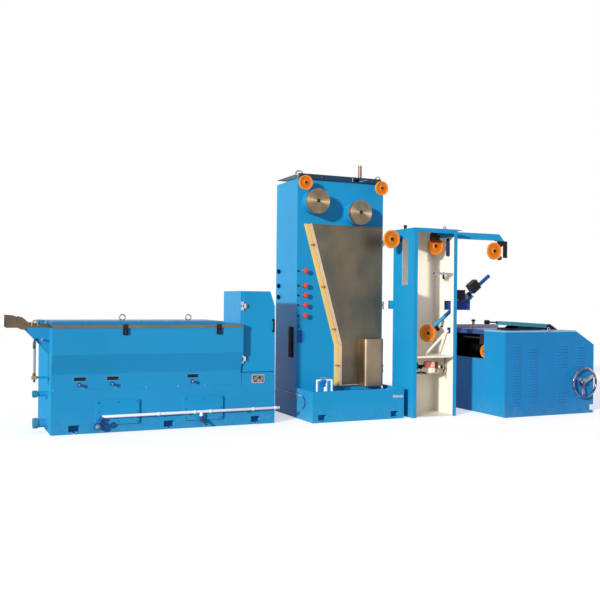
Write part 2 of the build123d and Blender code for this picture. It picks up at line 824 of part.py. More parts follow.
# Contact drums on collars, and the two small sheaves
drum_y = tower_y0 - wire_plane_tower
collars = []
drum_left_z = tower_height - drum_left_drop
drum_right_z = tower_height - drum_right_drop
small_sheave_z = tower_height - small_sheave_drop
drum_places = (
    ("contact_drum_left", tower_x0 + drum_left_x, drum_left_z),
    ("contact_drum_right", tower_x0 + drum_right_x, drum_right_z),
)
shafts = []
for name, drum_x, drum_z in drum_places:
    collar = bar_y(drum_collar_radius, drum_x, tower_y0 - drum_collar_depth, tower_y0, drum_z)
    collar += bar_y(drum_shaft_radius, drum_x, drum_y - drum_width / 2, tower_y0 - drum_collar_depth, drum_z)
    collars.append(collar)
    half = drum_width / 2
    groove = 12.0
    points = [
        (drum_shaft_radius + pin_gap, -half), (60.0, -half), (60.0, -half + 10.0), (drum_radius - 26.0, -half + 4.0),
        (drum_radius - 22.0, -half - 8.0), (drum_radius, -half - 4.0), (drum_radius - groove, 0), (drum_radius, half),
        (drum_shaft_radius + pin_gap, half),
    ]
    wheel = revolve(make_face(Polyline(*points, close=True)), axis=Axis.Y)
    write(name, Pos(drum_x, drum_y, drum_z) * wheel)
small_places = (
    ("tower_sheave_left", tower_x0 + small_sheave_left_x),
    ("tower_sheave_right", tower_x0 + small_sheave_right_x),
)
for name, wheel_x in small_places:
    write(name, sheave(small_sheave_radius, sheave_width, shaft_radius + pin_gap, wheel_x, drum_y, small_sheave_z))
    shafts.append(bar_y(shaft_radius, wheel_x, drum_y - shaft_proud, tower_y0, small_sheave_z)
                  + bar_y(small_boss_radius, wheel_x, tower_y0 - small_boss_length, tower_y0, small_sheave_z))
write("drum_collars", Compound(children=collars + shafts))

button_x = tower_x0 + button_inset
button_y1 = tower_y0 - button_gap
for drop in button_drops:
    button_z = tower_height - drop
    knobs.append(bar_y(button_radius, button_x, button_y1 - button_thickness, button_y1, button_z)
                 + bar_y(button_stem, button_x, button_y1 - 1.0, tower_y0, button_z))
write("control_knobs", Compound(children=knobs))

# Water line and valve at the foot of the tower
water_x0, water_valve_x, water_x1 = [tower_x0 + along for along in water_at]
water_y = tower_y0 - water_forward
water_z = tower_base_height + water_rise
water = bar_z(water_pipe_radius, water_x0, water_y, tower_base_height, water_z)
water += Pos(water_x0, water_y, water_z) * Sphere(water_pipe_radius)
water += bar_x(water_pipe_radius, water_x0, water_x1, water_y, water_z)
water += bar_z(water_valve_radius, water_valve_x, water_y, tower_base_height, water_z - water_valve_drop)
water += bar_z(water_pipe_radius, water_x1, water_y, tower_base_height, water_z)
write("water_line", water)

# Dancer: folded sheet frame
left_wall = block(dancer_x0, dancer_x0 + sheet, dancer_y0, dancer_y1, 0, dancer_height)
left_wall += block(dancer_x0, dancer_x0 + flange_width, dancer_y0, dancer_y0 + sheet, 0, dancer_height)
wire_y = dancer_y0 + dancer_wire_y
left_wall -= block(dancer_x0 - 1.0, dancer_x0 + sheet + 1.0, wire_y - slot_width / 2, wire_y + slot_width / 2, slot_z0, slot_z1)
write("dancer_left_wall", left_wall)
right_wall = block(dancer_x1 - sheet, dancer_x1, dancer_y0, dancer_y1, 0, dancer_height)
right_wall += block(dancer_x1 - flange_width, dancer_x1, dancer_y0, dancer_y0 + sheet, 0, dancer_height)
right_wall -= block(dancer_x1 - sheet - 1.0, dancer_x1 + 1.0, dancer_y0 + lever_slot_y0, dancer_y0 + lever_slot_y1,
                    lever_slot_z0, lever_slot_z1)
write("dancer_right_wall", right_wall)
inner_x0 = dancer_x0 + sheet
inner_x1 = dancer_x1 - sheet
back_panel = block(inner_x0, inner_x1, dancer_y1 - sheet, dancer_y1, 0, dancer_height)
back_panel += block(inner_x0, inner_x1, dancer_y0 + sheet, dancer_y1 - sheet, dancer_height - sheet, dancer_height)
back_panel += block(dancer_x0 + flange_width, dancer_x1 - flange_width, dancer_y0, dancer_y0 + sheet,
                    dancer_height - head_height, dancer_height)
write("dancer_back", back_panel)
floor_plate = block(inner_x0, inner_x1, dancer_y0 + sheet, dancer_y1 - sheet, 0, floor_thickness)
write("dancer_floor", floor_plate)
shelf = block(inner_x0, inner_x1, dancer_y0 + sheet, dancer_y1 - sheet, shelf_z - sheet, shelf_z)
shelf += block(inner_x0 + flange_width, inner_x1 - flange_width, dancer_y0 + sheet, dancer_y0 + 2 * sheet,
               shelf_z - shelf_lip, shelf_z)
write("dancer_shelf", shelf)

# Dancer sheaves and what holds them
outer_x = dancer_x0 + outer_sheave_x
top_x = dancer_x0 + top_sheave_x
bore = shaft_radius + pin_gap
write("outer_sheave", sheave(sheave_radius, sheave_width, bore, outer_x, wire_y, outer_sheave_z))
write("top_sheave", sheave(sheave_radius, sheave_width, bore, top_x, wire_y, top_sheave_z))
stay_y = wire_y + slot_width / 2 + stay_clearance
hanger_y = wire_y + lever_offset
shaft_y0 = wire_y - shaft_proud
stay = bar_y(shaft_radius, outer_x, shaft_y0, stay_y + 8.0, outer_sheave_z)
stay += block(outer_x - stay_half, dancer_x0, stay_y, stay_y + stay_thickness,
              outer_sheave_z - stay_half, outer_sheave_z + stay_half)
hanger = bar_y(shaft_radius, top_x, shaft_y0, hanger_y + 8.0, top_sheave_z)
hanger += block(top_x - bracket_half_width, top_x + bracket_half_width, hanger_y, hanger_y + stay_thickness,
                top_sheave_z - bracket_below_axis, dancer_height - sheet)
write("sheave_brackets", Compound(children=[stay, hanger]))

# Upper arm with the hanger for its sheave
arm_y0 = wire_y + arm_setback
arm_y1 = arm_y0 + arm_height
arm_tip = dancer_x1 + arm_reach
arm = front_profile(
    [(dancer_x1, arm_z), (dancer_x1, arm_z + arm_height), (arm_tip - arm_shoulder, arm_z + arm_height),
     (arm_tip, arm_z - arm_nose_drop), (arm_tip - arm_nose, arm_z - arm_nose_drop), (arm_tip - arm_underside_step, arm_z)],
    arm_y0, arm_y1)
write("upper_arm", arm)
arm_wheel_x = dancer_x0 + arm_sheave_x
hanger_plate = front_profile(
    [(arm_tip - hanger_shoulder, arm_z - arm_nose_drop), (arm_tip + hanger_past_tip, arm_z - arm_nose_drop),
     (arm_tip + hanger_past_tip, arm_z - hanger_length), (arm_tip - hanger_inset, arm_z - hanger_length),
     (arm_tip - hanger_inset, arm_z - hanger_neck),
     (arm_wheel_x + bracket_below_axis, arm_sheave_z - bracket_below_axis),
     (arm_wheel_x - bracket_below_axis, arm_sheave_z - bracket_below_axis),
     (arm_wheel_x - bracket_below_axis, arm_sheave_z + bracket_below_axis)],
    arm_y0, arm_y0 + hanger_thickness)
hanger_plate += bar_y(shaft_radius, arm_wheel_x, shaft_y0, arm_y0 + 2.0, arm_sheave_z)
write("arm_hanger", hanger_plate)
write("arm_sheave", sheave(sheave_radius, sheave_width, bore, arm_wheel_x, wire_y, arm_sheave_z))

# Dancer lever: a tube through the right wall, the wire sheave on a plate at one end and a weight on the other
pivot_axis_x = dancer_x0 + pivot_x
lever_y = wire_y + lever_offset
plate_y = wire_y + sheave_width / 2 + run_gap - lever_y
plate_y1 = plate_y + lever_plate_thickness
lever = bar_x(lever_radius, -lever_long + lever_tube_start, lever_short, 0, 0)
lever += bar_x(sleeve_radius, sleeve_start, sleeve_end, 0, 0)
lever += bar_y(lever_hub_radius, 0, -lever_hub_half, lever_hub_half, 0)
lever += block(-lever_long, -lever_long + lever_plate_length, plate_y, plate_y1, -lever_plate_half, lever_plate_half)
lever += bar_y(lever_plate_half, -lever_long, plate_y, plate_y1, 0)
lever += bar_y(shaft_radius, -lever_long, shaft_y0 - lever_y, plate_y + 1.0, 0)
lever -= bar_y(pivot_radius + pin_gap, 0, -lever_hub_half - 26.0, lever_hub_half + 26.0, 0)
lever_place = Pos(pivot_axis_x, lever_y, pivot_z) * Rot(0, -lever_angle, 0)
write("dancer_lever", lever_place * lever)
weight = block(weight_start, weight_end, -weight_half, weight_half, weight_low, weight_high)
weight -= bar_x(lever_radius, weight_start - 10.0, weight_end + 10.0, 0, 0)
write("counterweight", lever_place * weight)
angle = math.radians(lever_angle)
lever_wheel_x = pivot_axis_x - lever_long * math.cos(angle)
lever_wheel_z = pivot_z - lever_long * math.sin(angle)
write("lever_sheave", sheave(sheave_radius, sheave_width, bore, lever_wheel_x, wire_y, lever_wheel_z))

# Two cheeks outside the right wall carry the lever's pivot pin, with the angle sensor above them
cheek_x1 = pivot_axis_x + cheek_reach
cheek_span = cheek_offset + cheek_thickness
cheeks = bar_y(pivot_radius, pivot_axis_x, lever_y - cheek_span, lever_y + cheek_span, pivot_z)
for cheek_y in (lever_y - cheek_span, lever_y + cheek_offset):
    cheeks += block(dancer_x1, cheek_x1, cheek_y, cheek_y + cheek_thickness, pivot_z - cheek_below, pivot_z + cheek_above)
sensor_z0 = pivot_z + cheek_above + sensor_gap
sensor = block(dancer_x1, dancer_x1 + sensor_length, lever_y + sensor_y0, lever_y + sensor_y1,
               sensor_z0, sensor_z0 + sensor_height)
write("pivot_cheeks", Compound(children=[cheeks, sensor]))

# Air valve and regulator under the shelf
regulator_y0 = dancer_y0 + regulator_setback
regulator_y1 = regulator_y0 + regulator_size
regulator_x = inner_x0 + regulator_inset
regulator_z0 = shelf_z - regulator_below_shelf
regulator_z1 = regulator_z0 + regulator_size
bowl_y = (regulator_y0 + regulator_y1) / 2
stay_x = regulator_x + regulator_stay_at
stay_z = (regulator_z0 + regulator_z1) / 2
regulator = block(regulator_x, regulator_x + regulator_length, regulator_y0, regulator_y1, regulator_z0, regulator_z1)
regulator += bar_z(regulator_knob_radius, regulator_x + regulator_knob_at, bowl_y,
                   regulator_z1, regulator_z1 + regulator_knob_height)
regulator += bar_z(regulator_bowl_radius, regulator_x + regulator_bowl_at, bowl_y,
                   regulator_z0 - regulator_bowl_height, regulator_z0)
regulator += block(stay_x, stay_x + regulator_stay_width, regulator_y1, dancer_y1 - sheet,
                   stay_z - regulator_stay_width / 2, stay_z + regulator_stay_width / 2)
write("air_regulator", regulator)

# Take-up: welded cabinet of separate walls
wall = takeup_wall
notch = (takeup_x1 - takeup_foot_notch_x, takeup_foot_notch_z)
foot_x1 = takeup_x1 - foot_end_gap
foot_x0 = foot_x1 - foot_length
front_outline = [
    (takeup_x0, 0), (takeup_x0, takeup_height), (takeup_x1 - takeup_chamfer_x, takeup_height),
    (takeup_x1, takeup_height - takeup_chamfer_z), (takeup_x1, takeup_foot_notch_z), notch,
    (takeup_x1 - takeup_foot_notch_x, takeup_foot_height), (foot_x0, takeup_foot_height), (foot_x0 - foot_slope, 0),
]
write("takeup_front", front_profile(front_outline, takeup_y0, takeup_y0 + wall))
write("takeup_back", front_profile(front_outline, takeup_y1 - wall, takeup_y1))
left = block(takeup_x0, takeup_x0 + wall, takeup_y0 + wall, takeup_y1 - wall, 0, takeup_height)
left -= block(takeup_x0 - 1.0, takeup_x0 + wall + 1.0, takeup_y0 + side_opening_y0, takeup_y0 + side_opening_y1,
              side_opening_z0, side_opening_z1)
write("takeup_left_wall", left)

# Deck over the chamfer and down the right end, with the opening of the spool bay
deck = front_profile(
    [(takeup_x0 + wall, takeup_height - top_sheet), (takeup_x0 + wall, takeup_height),
     (takeup_x1 - takeup_chamfer_x, takeup_height), (takeup_x1, takeup_height - takeup_chamfer_z),
     (takeup_x1, takeup_foot_notch_z), (takeup_x1 - wall, takeup_foot_notch_z),
     (takeup_x1 - wall, takeup_height - takeup_chamfer_z - 6.0),
     (takeup_x1 - takeup_chamfer_x - 5.0, takeup_height - top_sheet)],
    takeup_y0 + wall, takeup_y1 - wall)
bay_x0 = takeup_x0 + bay_from_left
bay_x1 = bay_x0 + bay_length
bay_y0 = takeup_y0 + bay_from_front
bay_y1 = bay_y0 + bay_depth
deck -= block(bay_x0, bay_x1, bay_y0, bay_y1, takeup_height - top_sheet - 28.0, takeup_height + 1.0)
write("takeup_deck", deck)
notch_x = takeup_x1 - takeup_foot_notch_x
floor_pan = block(takeup_x0 + wall, foot_x0 - foot_slope, takeup_y0 + wall, takeup_y1 - wall, 0, pan_height)
floor_pan += block(foot_x0 - foot_slope - 1.0, notch_x, takeup_y0 + wall, takeup_y1 - wall,
                   takeup_foot_height, pan_height)
floor_pan += block(foot_x0, foot_x1, takeup_y0, takeup_y1, 0, takeup_foot_height)
floor_pan += block(notch_x - top_sheet, notch_x, takeup_y0 + wall, takeup_y1 - wall, pan_height - 1.0, takeup_foot_notch_z)
floor_pan += block(notch_x - top_sheet, takeup_x1 - wall, takeup_y0 + wall, takeup_y1 - wall,
                   takeup_foot_notch_z, takeup_foot_notch_z + top_sheet)
write("takeup_floor", floor_pan)

# Coaming round the spool bay with a top that falls to the right, and the hinged lid that rests on it
lid_tilt = math.radians(lid_slope)
lid_left = takeup_x0 + lid_from_left
lid_right = lid_left + lid_length
lid_low = takeup_height + lid_rise


def lid_line(x):
    """Height of the lid's underside at x."""
    return lid_low - (x - lid_left) * math.tan(lid_tilt)


frame_x0 = bay_x0 - coaming_wall
frame_x1 = bay_x1 + coaming_wall
coaming = front_profile(
    [(frame_x0, takeup_height), (frame_x0, lid_line(frame_x0) - seat_gap), (frame_x1, lid_line(frame_x1) - seat_gap),
     (frame_x1, takeup_height)],
    bay_y0 - coaming_wall, bay_y1 + coaming_wall)
coaming -= block(bay_x0, bay_x1, bay_y0, bay_y1, takeup_height - 1.0, lid_low + lid_thickness)
write("bay_coaming", coaming)

lid_y_front = takeup_y0 + lid_from_front
lid_y_back = lid_y_front + lid_depth
lid_hinge_x = lid_right + lid_hinge_reach
lid_hinge_z = takeup_height + lid_hinge_rise
strap_x = lid_right - lid_strap_start
strap_places = (lid_y_front + lid_strap_inset, lid_y_back - lid_strap_inset)
lid = front_profile(
    [(lid_left, lid_low), (lid_left, lid_low + lid_thickness), (lid_right, lid_line(lid_right) + lid_thickness),
     (lid_right, lid_line(lid_right))], lid_y_front, lid_y_back)
for side_y in strap_places:
    strap_y0 = side_y - lid_strap_half
    strap_y1 = side_y + lid_strap_half
    lid += front_profile(
        [(strap_x, lid_line(strap_x) + 4.0), (strap_x, lid_line(strap_x) + lid_thickness - 5.0),
         (lid_hinge_x, lid_hinge_z + 14.0), (lid_hinge_x, lid_hinge_z - 14.0)], strap_y0, strap_y1)
    lid += bar_y(lid_barrel_radius, lid_hinge_x, strap_y0, strap_y1, lid_hinge_z)
    lid -= bar_y(lid_pin_radius + pin_gap, lid_hinge_x, strap_y0 - 35.0, strap_y1 + 35.0, lid_hinge_z)
write("takeup_lid", lid)
brackets = []
bracket_outer = bracket_inner + bracket_thickness
bracket_top = lid_hinge_z + bracket_rise
for side_y in strap_places:
    bracket = bar_y(lid_pin_radius, lid_hinge_x, side_y - bracket_outer, side_y + bracket_outer, lid_hinge_z)
    for cheek_y in (side_y - bracket_outer, side_y + bracket_inner):
        bracket += front_profile(
            [(lid_hinge_x - bracket_back, takeup_height), (lid_hinge_x - bracket_back, bracket_top),
             (lid_hinge_x + bracket_nose, bracket_top), (lid_hinge_x + bracket_front, takeup_height)],
            cheek_y, cheek_y + bracket_thickness)
    brackets.append(bracket)
write("lid_brackets", Compound(children=brackets))

# Handwheel on its hub at the front
wheel_x = takeup_x0 + handwheel_x
wheel_y = takeup_y0 - handwheel_reach + handwheel_tube
boss_y0 = takeup_y0 - boss_length
hub = bar_y(boss_radius, wheel_x, boss_y0, takeup_y0, handwheel_z)
hub += bar_y(wheel_shaft_radius, wheel_x, wheel_y - 12.0, boss_y0, handwheel_z)
write("handwheel_boss", hub)
wheel = Pos(wheel_x, wheel_y, handwheel_z) * Rot(90, 0, 0) * Torus(handwheel_radius - handwheel_tube, handwheel_tube)
wheel += bar_y(wheel_hub_radius, wheel_x, wheel_y - handwheel_tube, wheel_y + 30.0, handwheel_z)
for index in range(3):
    spoke = bar_x(wheel_spoke_radius, wheel_hub_radius - 10.0, handwheel_radius - handwheel_tube, 0, 0)
    wheel += Pos(wheel_x, wheel_y, handwheel_z) * Rot(0, 90 + index * 120, 0) * spoke
wheel -= bar_y(wheel_shaft_radius + pin_gap, wheel_x, wheel_y - 40.0, wheel_y + 60.0, handwheel_z)
write("handwheel", wheel)

# Traverse inside the side opening: a rail from front to back, its carriage and the guide sheave
rail_x = takeup_x0 + rail_reach
rail_z = side_opening_z1 - rail_drop
guide_x = takeup_x0 + guide_reach
guide_y = takeup_y0 + guide_from_front
guide_z = side_opening_z0 + guide_above_sill
carriage_y0 = takeup_y0 + carriage_from_front
carriage_z0 = guide_z + carriage_gap
arm_x1 = rail_x - carriage_half + arm_plate
rail = bar_y(rail_radius, rail_x, takeup_y0 + wall, takeup_y1 - wall, rail_z)
rail += block(rail_x - carriage_half, rail_x + carriage_half, carriage_y0, carriage_y0 + carriage_depth,
              carriage_z0, rail_z + carriage_above_rail)
rail += block(rail_x - carriage_half, arm_x1, guide_y - 30.0, guide_y + 60.0, guide_z - 30.0, carriage_z0 + 27.0)
rail += bar_x(shaft_radius, guide_x - shaft_proud, arm_x1, guide_y, guide_z)
write("traverse_rail", rail)
guide = sheave(guide_radius, sheave_width, bore, 0, 0, 0)
write("traverse_sheave", Pos(guide_x, guide_y, guide_z) * Rot(0, 0, 90) * guide)

print(len(nodes), "nodes")
for label, point in {
    "housing hinge": (hinge_x, hinge_y, 0), "leaf hinge": (leaf_hinge_x, leaf_hinge_y, 0),
    "drum left": (tower_x0 + drum_left_x, drum_y, drum_left_z), "drum right": (tower_x0 + drum_right_x, drum_y, drum_right_z),
    "tower sheave left": (tower_x0 + small_sheave_left_x, drum_y, small_sheave_z),
    "tower sheave right": (tower_x0 + small_sheave_right_x, drum_y, small_sheave_z),
    "outer sheave": (outer_x, wire_y, outer_sheave_z), "top sheave": (top_x, wire_y, top_sheave_z),
    "arm sheave": (arm_wheel_x, wire_y, arm_sheave_z), "lever pivot": (pivot_axis_x, lever_y, pivot_z),
    "lever sheave": (lever_wheel_x, wire_y, lever_wheel_z), "lid hinge": (lid_hinge_x, 0, lid_hinge_z),
    "handwheel": (wheel_x, wheel_y, handwheel_z), "traverse sheave": (guide_x, guide_y, guide_z),
}.items():
    print(label, [round(value, 2) for value in point])
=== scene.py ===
# %% [markdown]
# # A wire drawing line, dressed for its picture
#
# Four machines stand in a row and one wire runs through them: the tub that draws the wire down,
# the tall annealing tower, the dancer frame that keeps the wire tight, and the take-up cabinet
# that winds it. Their steel shapes come from the CAD model, in metres and already in place.
# This lesson gives every surface its finish and adds the small pieces that a CAD model leaves
# out: turned wheels, lifting eyes, louvres, bolts, plates, valves and handles.

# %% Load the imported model
import math

import bmesh
import bpy
from mathutils import Matrix, Vector


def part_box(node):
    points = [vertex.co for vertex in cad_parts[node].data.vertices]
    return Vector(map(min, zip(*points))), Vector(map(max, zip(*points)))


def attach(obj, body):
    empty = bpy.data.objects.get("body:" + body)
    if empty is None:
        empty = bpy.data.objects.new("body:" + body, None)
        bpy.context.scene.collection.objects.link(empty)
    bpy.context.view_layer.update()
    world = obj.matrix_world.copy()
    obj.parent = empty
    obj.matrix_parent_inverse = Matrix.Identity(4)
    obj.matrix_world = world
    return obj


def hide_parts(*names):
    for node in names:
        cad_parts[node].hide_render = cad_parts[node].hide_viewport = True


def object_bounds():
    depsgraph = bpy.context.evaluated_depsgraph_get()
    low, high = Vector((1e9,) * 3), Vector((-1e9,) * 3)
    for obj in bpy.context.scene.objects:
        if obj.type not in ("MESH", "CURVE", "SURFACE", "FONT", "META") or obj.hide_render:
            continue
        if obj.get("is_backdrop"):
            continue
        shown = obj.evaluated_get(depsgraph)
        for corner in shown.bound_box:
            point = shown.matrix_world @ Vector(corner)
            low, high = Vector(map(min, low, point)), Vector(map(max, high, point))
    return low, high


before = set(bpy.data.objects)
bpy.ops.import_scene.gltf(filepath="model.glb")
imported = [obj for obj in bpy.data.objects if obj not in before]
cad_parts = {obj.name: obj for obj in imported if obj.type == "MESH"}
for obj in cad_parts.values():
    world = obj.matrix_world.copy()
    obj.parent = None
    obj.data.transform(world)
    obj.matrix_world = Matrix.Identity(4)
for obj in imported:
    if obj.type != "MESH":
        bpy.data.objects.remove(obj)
cad_low, cad_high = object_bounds()
scene = bpy.context.scene
print("CAD nodes:", len(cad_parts), "box:", [round(v, 3) for v in cad_high - cad_low])

# %% [markdown]
# ## Where the photographer stood
#
# The camera is set first, because every later choice is judged through it. A camera has three
# directions of its own: right, up and back. They are worked out from the heading, the small tilt
# and the small roll of the photograph, and put side by side in one matrix. That is surer than
# typing three rotation angles, whose order is easy to get wrong.

# %% Place the camera
EYE = Vector((-4.6985, -9.880, 1.600))
HEADING = 0.421287928
TILT = -0.00062377655
ROLL = 0.010093866
SENSOR_WIDTH = 36.0
LENS = 48.3225
FARTHEST_SEEN = 200.0
UP = Vector((0.0, 0.0, 1.0))

level_ahead = Vector((math.sin(HEADING), math.cos(HEADING), 0.0))
level_right = Vector((math.cos(HEADING), -math.sin(HEADING), 0.0))
ahead = math.cos(TILT) * level_ahead + math.sin(TILT) * UP
lift = math.cos(TILT) * UP - math.sin(TILT) * level_ahead
camera_right = math.cos(ROLL) * level_right + math.sin(ROLL) * lift
camera_up = math.cos(ROLL) * lift - math.sin(ROLL) * level_right

camera = bpy.data.objects.new("camera", bpy.data.cameras.new("camera"))
scene.collection.objects.link(camera)
camera.data.sensor_width = SENSOR_WIDTH
camera.data.lens = LENS
camera.data.clip_end = FARTHEST_SEEN
directions = Matrix((camera_right, camera_up, -ahead)).transposed().to_4x4()
camera.matrix_world = Matrix.Translation(EYE) @ directions
scene.camera = camera
print("camera looks along", [round(v, 3) for v in ahead])

# %% [markdown]
# ## Light, backdrop and floor
#
# One broad lamp stands for the low light that comes from the left and the front, and lays the
# wheels' shadows on the tower. An even pale world fills the rest. The world is a plain white to
# the camera and in reflections, but gives a weaker, slightly violet light, so colours keep their
# depth. The Light Path node tells the kinds of ray apart.

# %% Set the lamp and the world
scene.view_settings.view_transform = "Standard"
LAMP_TRAVEL = Vector((0.815, 0.53, -0.24))
LAMP_POWER = 3.6
LAMP_SPREAD = math.radians(4.0)
LAMP_COLOUR = (1.0, 0.94, 0.84)
WORLD_FILL = 0.45
SHADE_COLOUR = (0.88, 0.82, 1.02, 1.0)
WHITE = (1.0, 1.0, 1.0, 1.0)

lamp = bpy.data.objects.new("broad_lamp", bpy.data.lights.new("broad_lamp", "SUN"))
lamp.data.energy = LAMP_POWER
lamp.data.angle = LAMP_SPREAD
lamp.data.color = LAMP_COLOUR
lamp.rotation_euler = LAMP_TRAVEL.to_track_quat("-Z", "Y").to_euler()
scene.collection.objects.link(lamp)


def set_inputs(tree, node, inputs):
    """Fills inputs of a node. Each is a value, or another node's output to link from."""
    for key, value in inputs.items():
        if isinstance(value, bpy.types.NodeSocket):
            tree.links.new(value, node.inputs[key])
        else:
            node.inputs[key].default_value = value


def add_node(tree, kind, inputs=None, **settings):
    """Adds a node with its settings and its inputs."""
    node = tree.nodes.new(kind)
    for key, value in settings.items():
        setattr(node, key, value)
    set_inputs(tree, node, inputs or {})
    return node


def sums(tree, operation, *values):
    """One Math node, with each value a number or an output."""
    return add_node(tree, "ShaderNodeMath", dict(enumerate(values)), operation=operation).outputs[0]


def mixed(tree, amount, first, second):
    """A mix of two shaders, or of two kinds of light."""
    return add_node(tree, "ShaderNodeMixShader",
                    {0: amount, 1: first.outputs[0], 2: second.outputs[0]})


def seen_rays(tree):
    """1 for rays from the camera, from reflections and through glass, else 0."""
    rays = add_node(tree, "ShaderNodeLightPath").outputs
    seen = sums(tree, "MAXIMUM", rays["Is Camera Ray"], rays["Is Glossy Ray"])
    return sums(tree, "MAXIMUM", seen, rays["Is Transmission Ray"])


world = bpy.data.worlds.new("pale_room")
world.use_nodes = True
scene.world = world
tree = world.node_tree
tree.nodes.clear()
plain_white = add_node(tree, "ShaderNodeBackground", {"Color": WHITE, "Strength": 1.0})
shade_fill = add_node(tree, "ShaderNodeBackground", {"Color": SHADE_COLOUR, "Strength": WORLD_FILL})
backdrop = mixed(tree, seen_rays(tree), shade_fill, plain_white)
add_node(tree, "ShaderNodeOutputWorld", {"Surface": backdrop.outputs[0]})
print("lamp", LAMP_POWER, "world", WORLD_FILL)

# %% Lay the floor
FLOOR_REACH = 40.0
FLOOR_DROP = 0.0005
FLOOR_GLOW = 0.50
FLOOR_SEEN = (0.82, 0.82, 0.82, 1.0)
FLOOR_LIT_FROM = (0.55, 0.55, 0.55, 1.0)
FADE_STARTS = 9.0
FADE_ENDS = 24.0

floor_mesh = bmesh.new()
bmesh.ops.create_grid(floor_mesh, x_segments=2, y_segments=2, size=FLOOR_REACH)
bmesh.ops.translate(floor_mesh, verts=floor_mesh.verts, vec=(0.0, 0.0, -FLOOR_DROP))
floor_data = bpy.data.meshes.new("floor")
floor_mesh.to_mesh(floor_data)
floor_mesh.free()
floor = bpy.data.objects.new("floor", floor_data)
scene.collection.objects.link(floor)
floor_finish = bpy.data.materials.new("pale_floor")
floor_finish.use_nodes = True
tree = floor_finish.node_tree
tree.nodes.clear()
plain = add_node(tree, "ShaderNodeBsdfDiffuse", {"Color": FLOOR_SEEN})
glow = add_node(tree, "ShaderNodeEmission", {"Strength": FLOOR_GLOW})
seen_floor = add_node(tree, "ShaderNodeAddShader", {0: plain.outputs[0], 1: glow.outputs[0]})
dull = add_node(tree, "ShaderNodeBsdfDiffuse", {"Color": FLOOR_LIT_FROM})
choice = mixed(tree, seen_rays(tree), dull, seen_floor)
place = add_node(tree, "ShaderNodeTexCoord")
distance = add_node(tree, "ShaderNodeVectorMath", {0: place.outputs["Object"]}, operation="LENGTH")
fade = add_node(tree, "ShaderNodeMapRange",
                {"Value": distance.outputs["Value"], "From Min": FADE_STARTS, "From Max": FADE_ENDS},
                interpolation_type="SMOOTHSTEP")
faded = mixed(tree, fade.outputs[0], choice, add_node(tree, "ShaderNodeBsdfTransparent"))
add_node(tree, "ShaderNodeOutputMaterial", {"Surface": faded.outputs[0]})
floor_data.materials.append(floor_finish)
floor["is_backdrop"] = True
print("floor reaches", FLOOR_REACH, "m each way")

# %% [markdown]
# ## Finishes that several pieces share
#
# Paint on sheet steel is never one flat colour: it is a little deeper in one place than another,
# has the fine skin that spraying leaves, gathers dust near the floor and rubs bright along its
# edges. Those pale edges are also a painted highlight, where light catches a rounded edge.
# Each of these effects is made once as a node group with named inputs, and then placed
# in each material with its own amounts. The shader itself stays in the material.

# %% Helpers for node groups


def new_group(name, inputs, outputs):
    """A shader node group. Inputs map a name to its default, outputs to a kind of socket."""
    group = bpy.data.node_groups.new(name, "ShaderNodeTree")
    for label, value in inputs.items():
        kind = "NodeSocketFloat"
        if isinstance(value, tuple):
            kind = "NodeSocketColor" if len(value) == 4 else "NodeSocketVector"
        socket = group.interface.new_socket(name=label, in_out="INPUT", socket_type=kind)
        socket.default_value = value
    for label, kind in outputs.items():
        group.interface.new_socket(name=label, in_out="OUTPUT", socket_type=kind)
    given = group.nodes.new("NodeGroupInput").outputs
    return group, given, group.nodes.new("NodeGroupOutput")


def vector_sums(tree, operation, first, second=None, output=0):
    """One Vector Math node. SCALE takes a plain number second; lengths come from output 1."""
    inputs = {0: first}
    if second is not None:
        inputs[3 if operation == "SCALE" else 1] = second
    return add_node(tree, "ShaderNodeVectorMath", inputs, operation=operation).outputs[output]


def mix_colour(tree, amount, first, second):
    """Blends two colours by an amount and returns the colour output."""
    return add_node(tree, "ShaderNodeMix", {0: amount, 6: first, 7: second},
                    data_type="RGBA", blend_type="MIX").outputs[2]


def spread(tree, value, low, high, to_low=0.0, to_high=1.0):
    """A Map Range node that turns low..high into to_low..to_high."""
    return add_node(tree, "ShaderNodeMapRange",
                    {"Value": value, "From Min": low, "From Max": high,
                     "To Min": to_low, "To Max": to_high}).outputs[0]


def spot_on(tree):
    """The place on the object, in metres."""
    return add_node(tree, "ShaderNodeTexCoord").outputs["Object"]


def noise(tree, spot, scale, detail):
    """Soft noise between 0 and 1."""
    inputs = {"Vector": spot, "Scale": scale, "Detail": detail}
    return add_node(tree, "ShaderNodeTexNoise", inputs).outputs[0]


def bumped(tree, height, strength, distance):
    """A normal that follows a height."""
    return add_node(tree, "ShaderNodeBump",
                    {"Height": height, "Strength": strength, "Distance": distance}).outputs[0]


SURFACE = {"Colour": "NodeSocketColor", "Roughness": "NodeSocketFloat", "Height": "NodeSocketFloat"}
MASK = {"Mask": "NodeSocketFloat"}
GREY = (0.5, 0.5, 0.5, 1.0)
print("group helpers ready")

# %% The skin of sprayed paint
DUST_COLOUR = (0.42, 0.40, 0.36, 1.0)
DUST_HEIGHT = 0.30
sprayed, given, result = new_group(
    "sprayed_skin", {"Colour": GREY, "Mottle": 0.5, "Dust": 0.5, "Gloss Roughness": 0.35}, SURFACE)
spot = spot_on(sprayed)
broad = noise(sprayed, spot, 1.1, 3.0)
fine = noise(sprayed, spot, 13.0, 5.0)
skin = noise(sprayed, spot, 320.0, 2.0)
tone = sums(sprayed, "MULTIPLY", spread(sprayed, broad, 0.3, 0.7, -0.09, 0.09), given["Mottle"])
toned = vector_sums(sprayed, "SCALE", given["Colour"], sums(sprayed, "ADD", tone, 1.0))
height_z = add_node(sprayed, "ShaderNodeSeparateXYZ", {0: spot}).outputs["Z"]
near_floor = spread(sprayed, height_z, DUST_HEIGHT, 0.0)
dusty = sums(sprayed, "MULTIPLY", near_floor, spread(sprayed, fine, 0.35, 0.75))
dusty = sums(sprayed, "MULTIPLY", dusty, given["Dust"])
dusted = mix_colour(sprayed, dusty, toned, DUST_COLOUR)
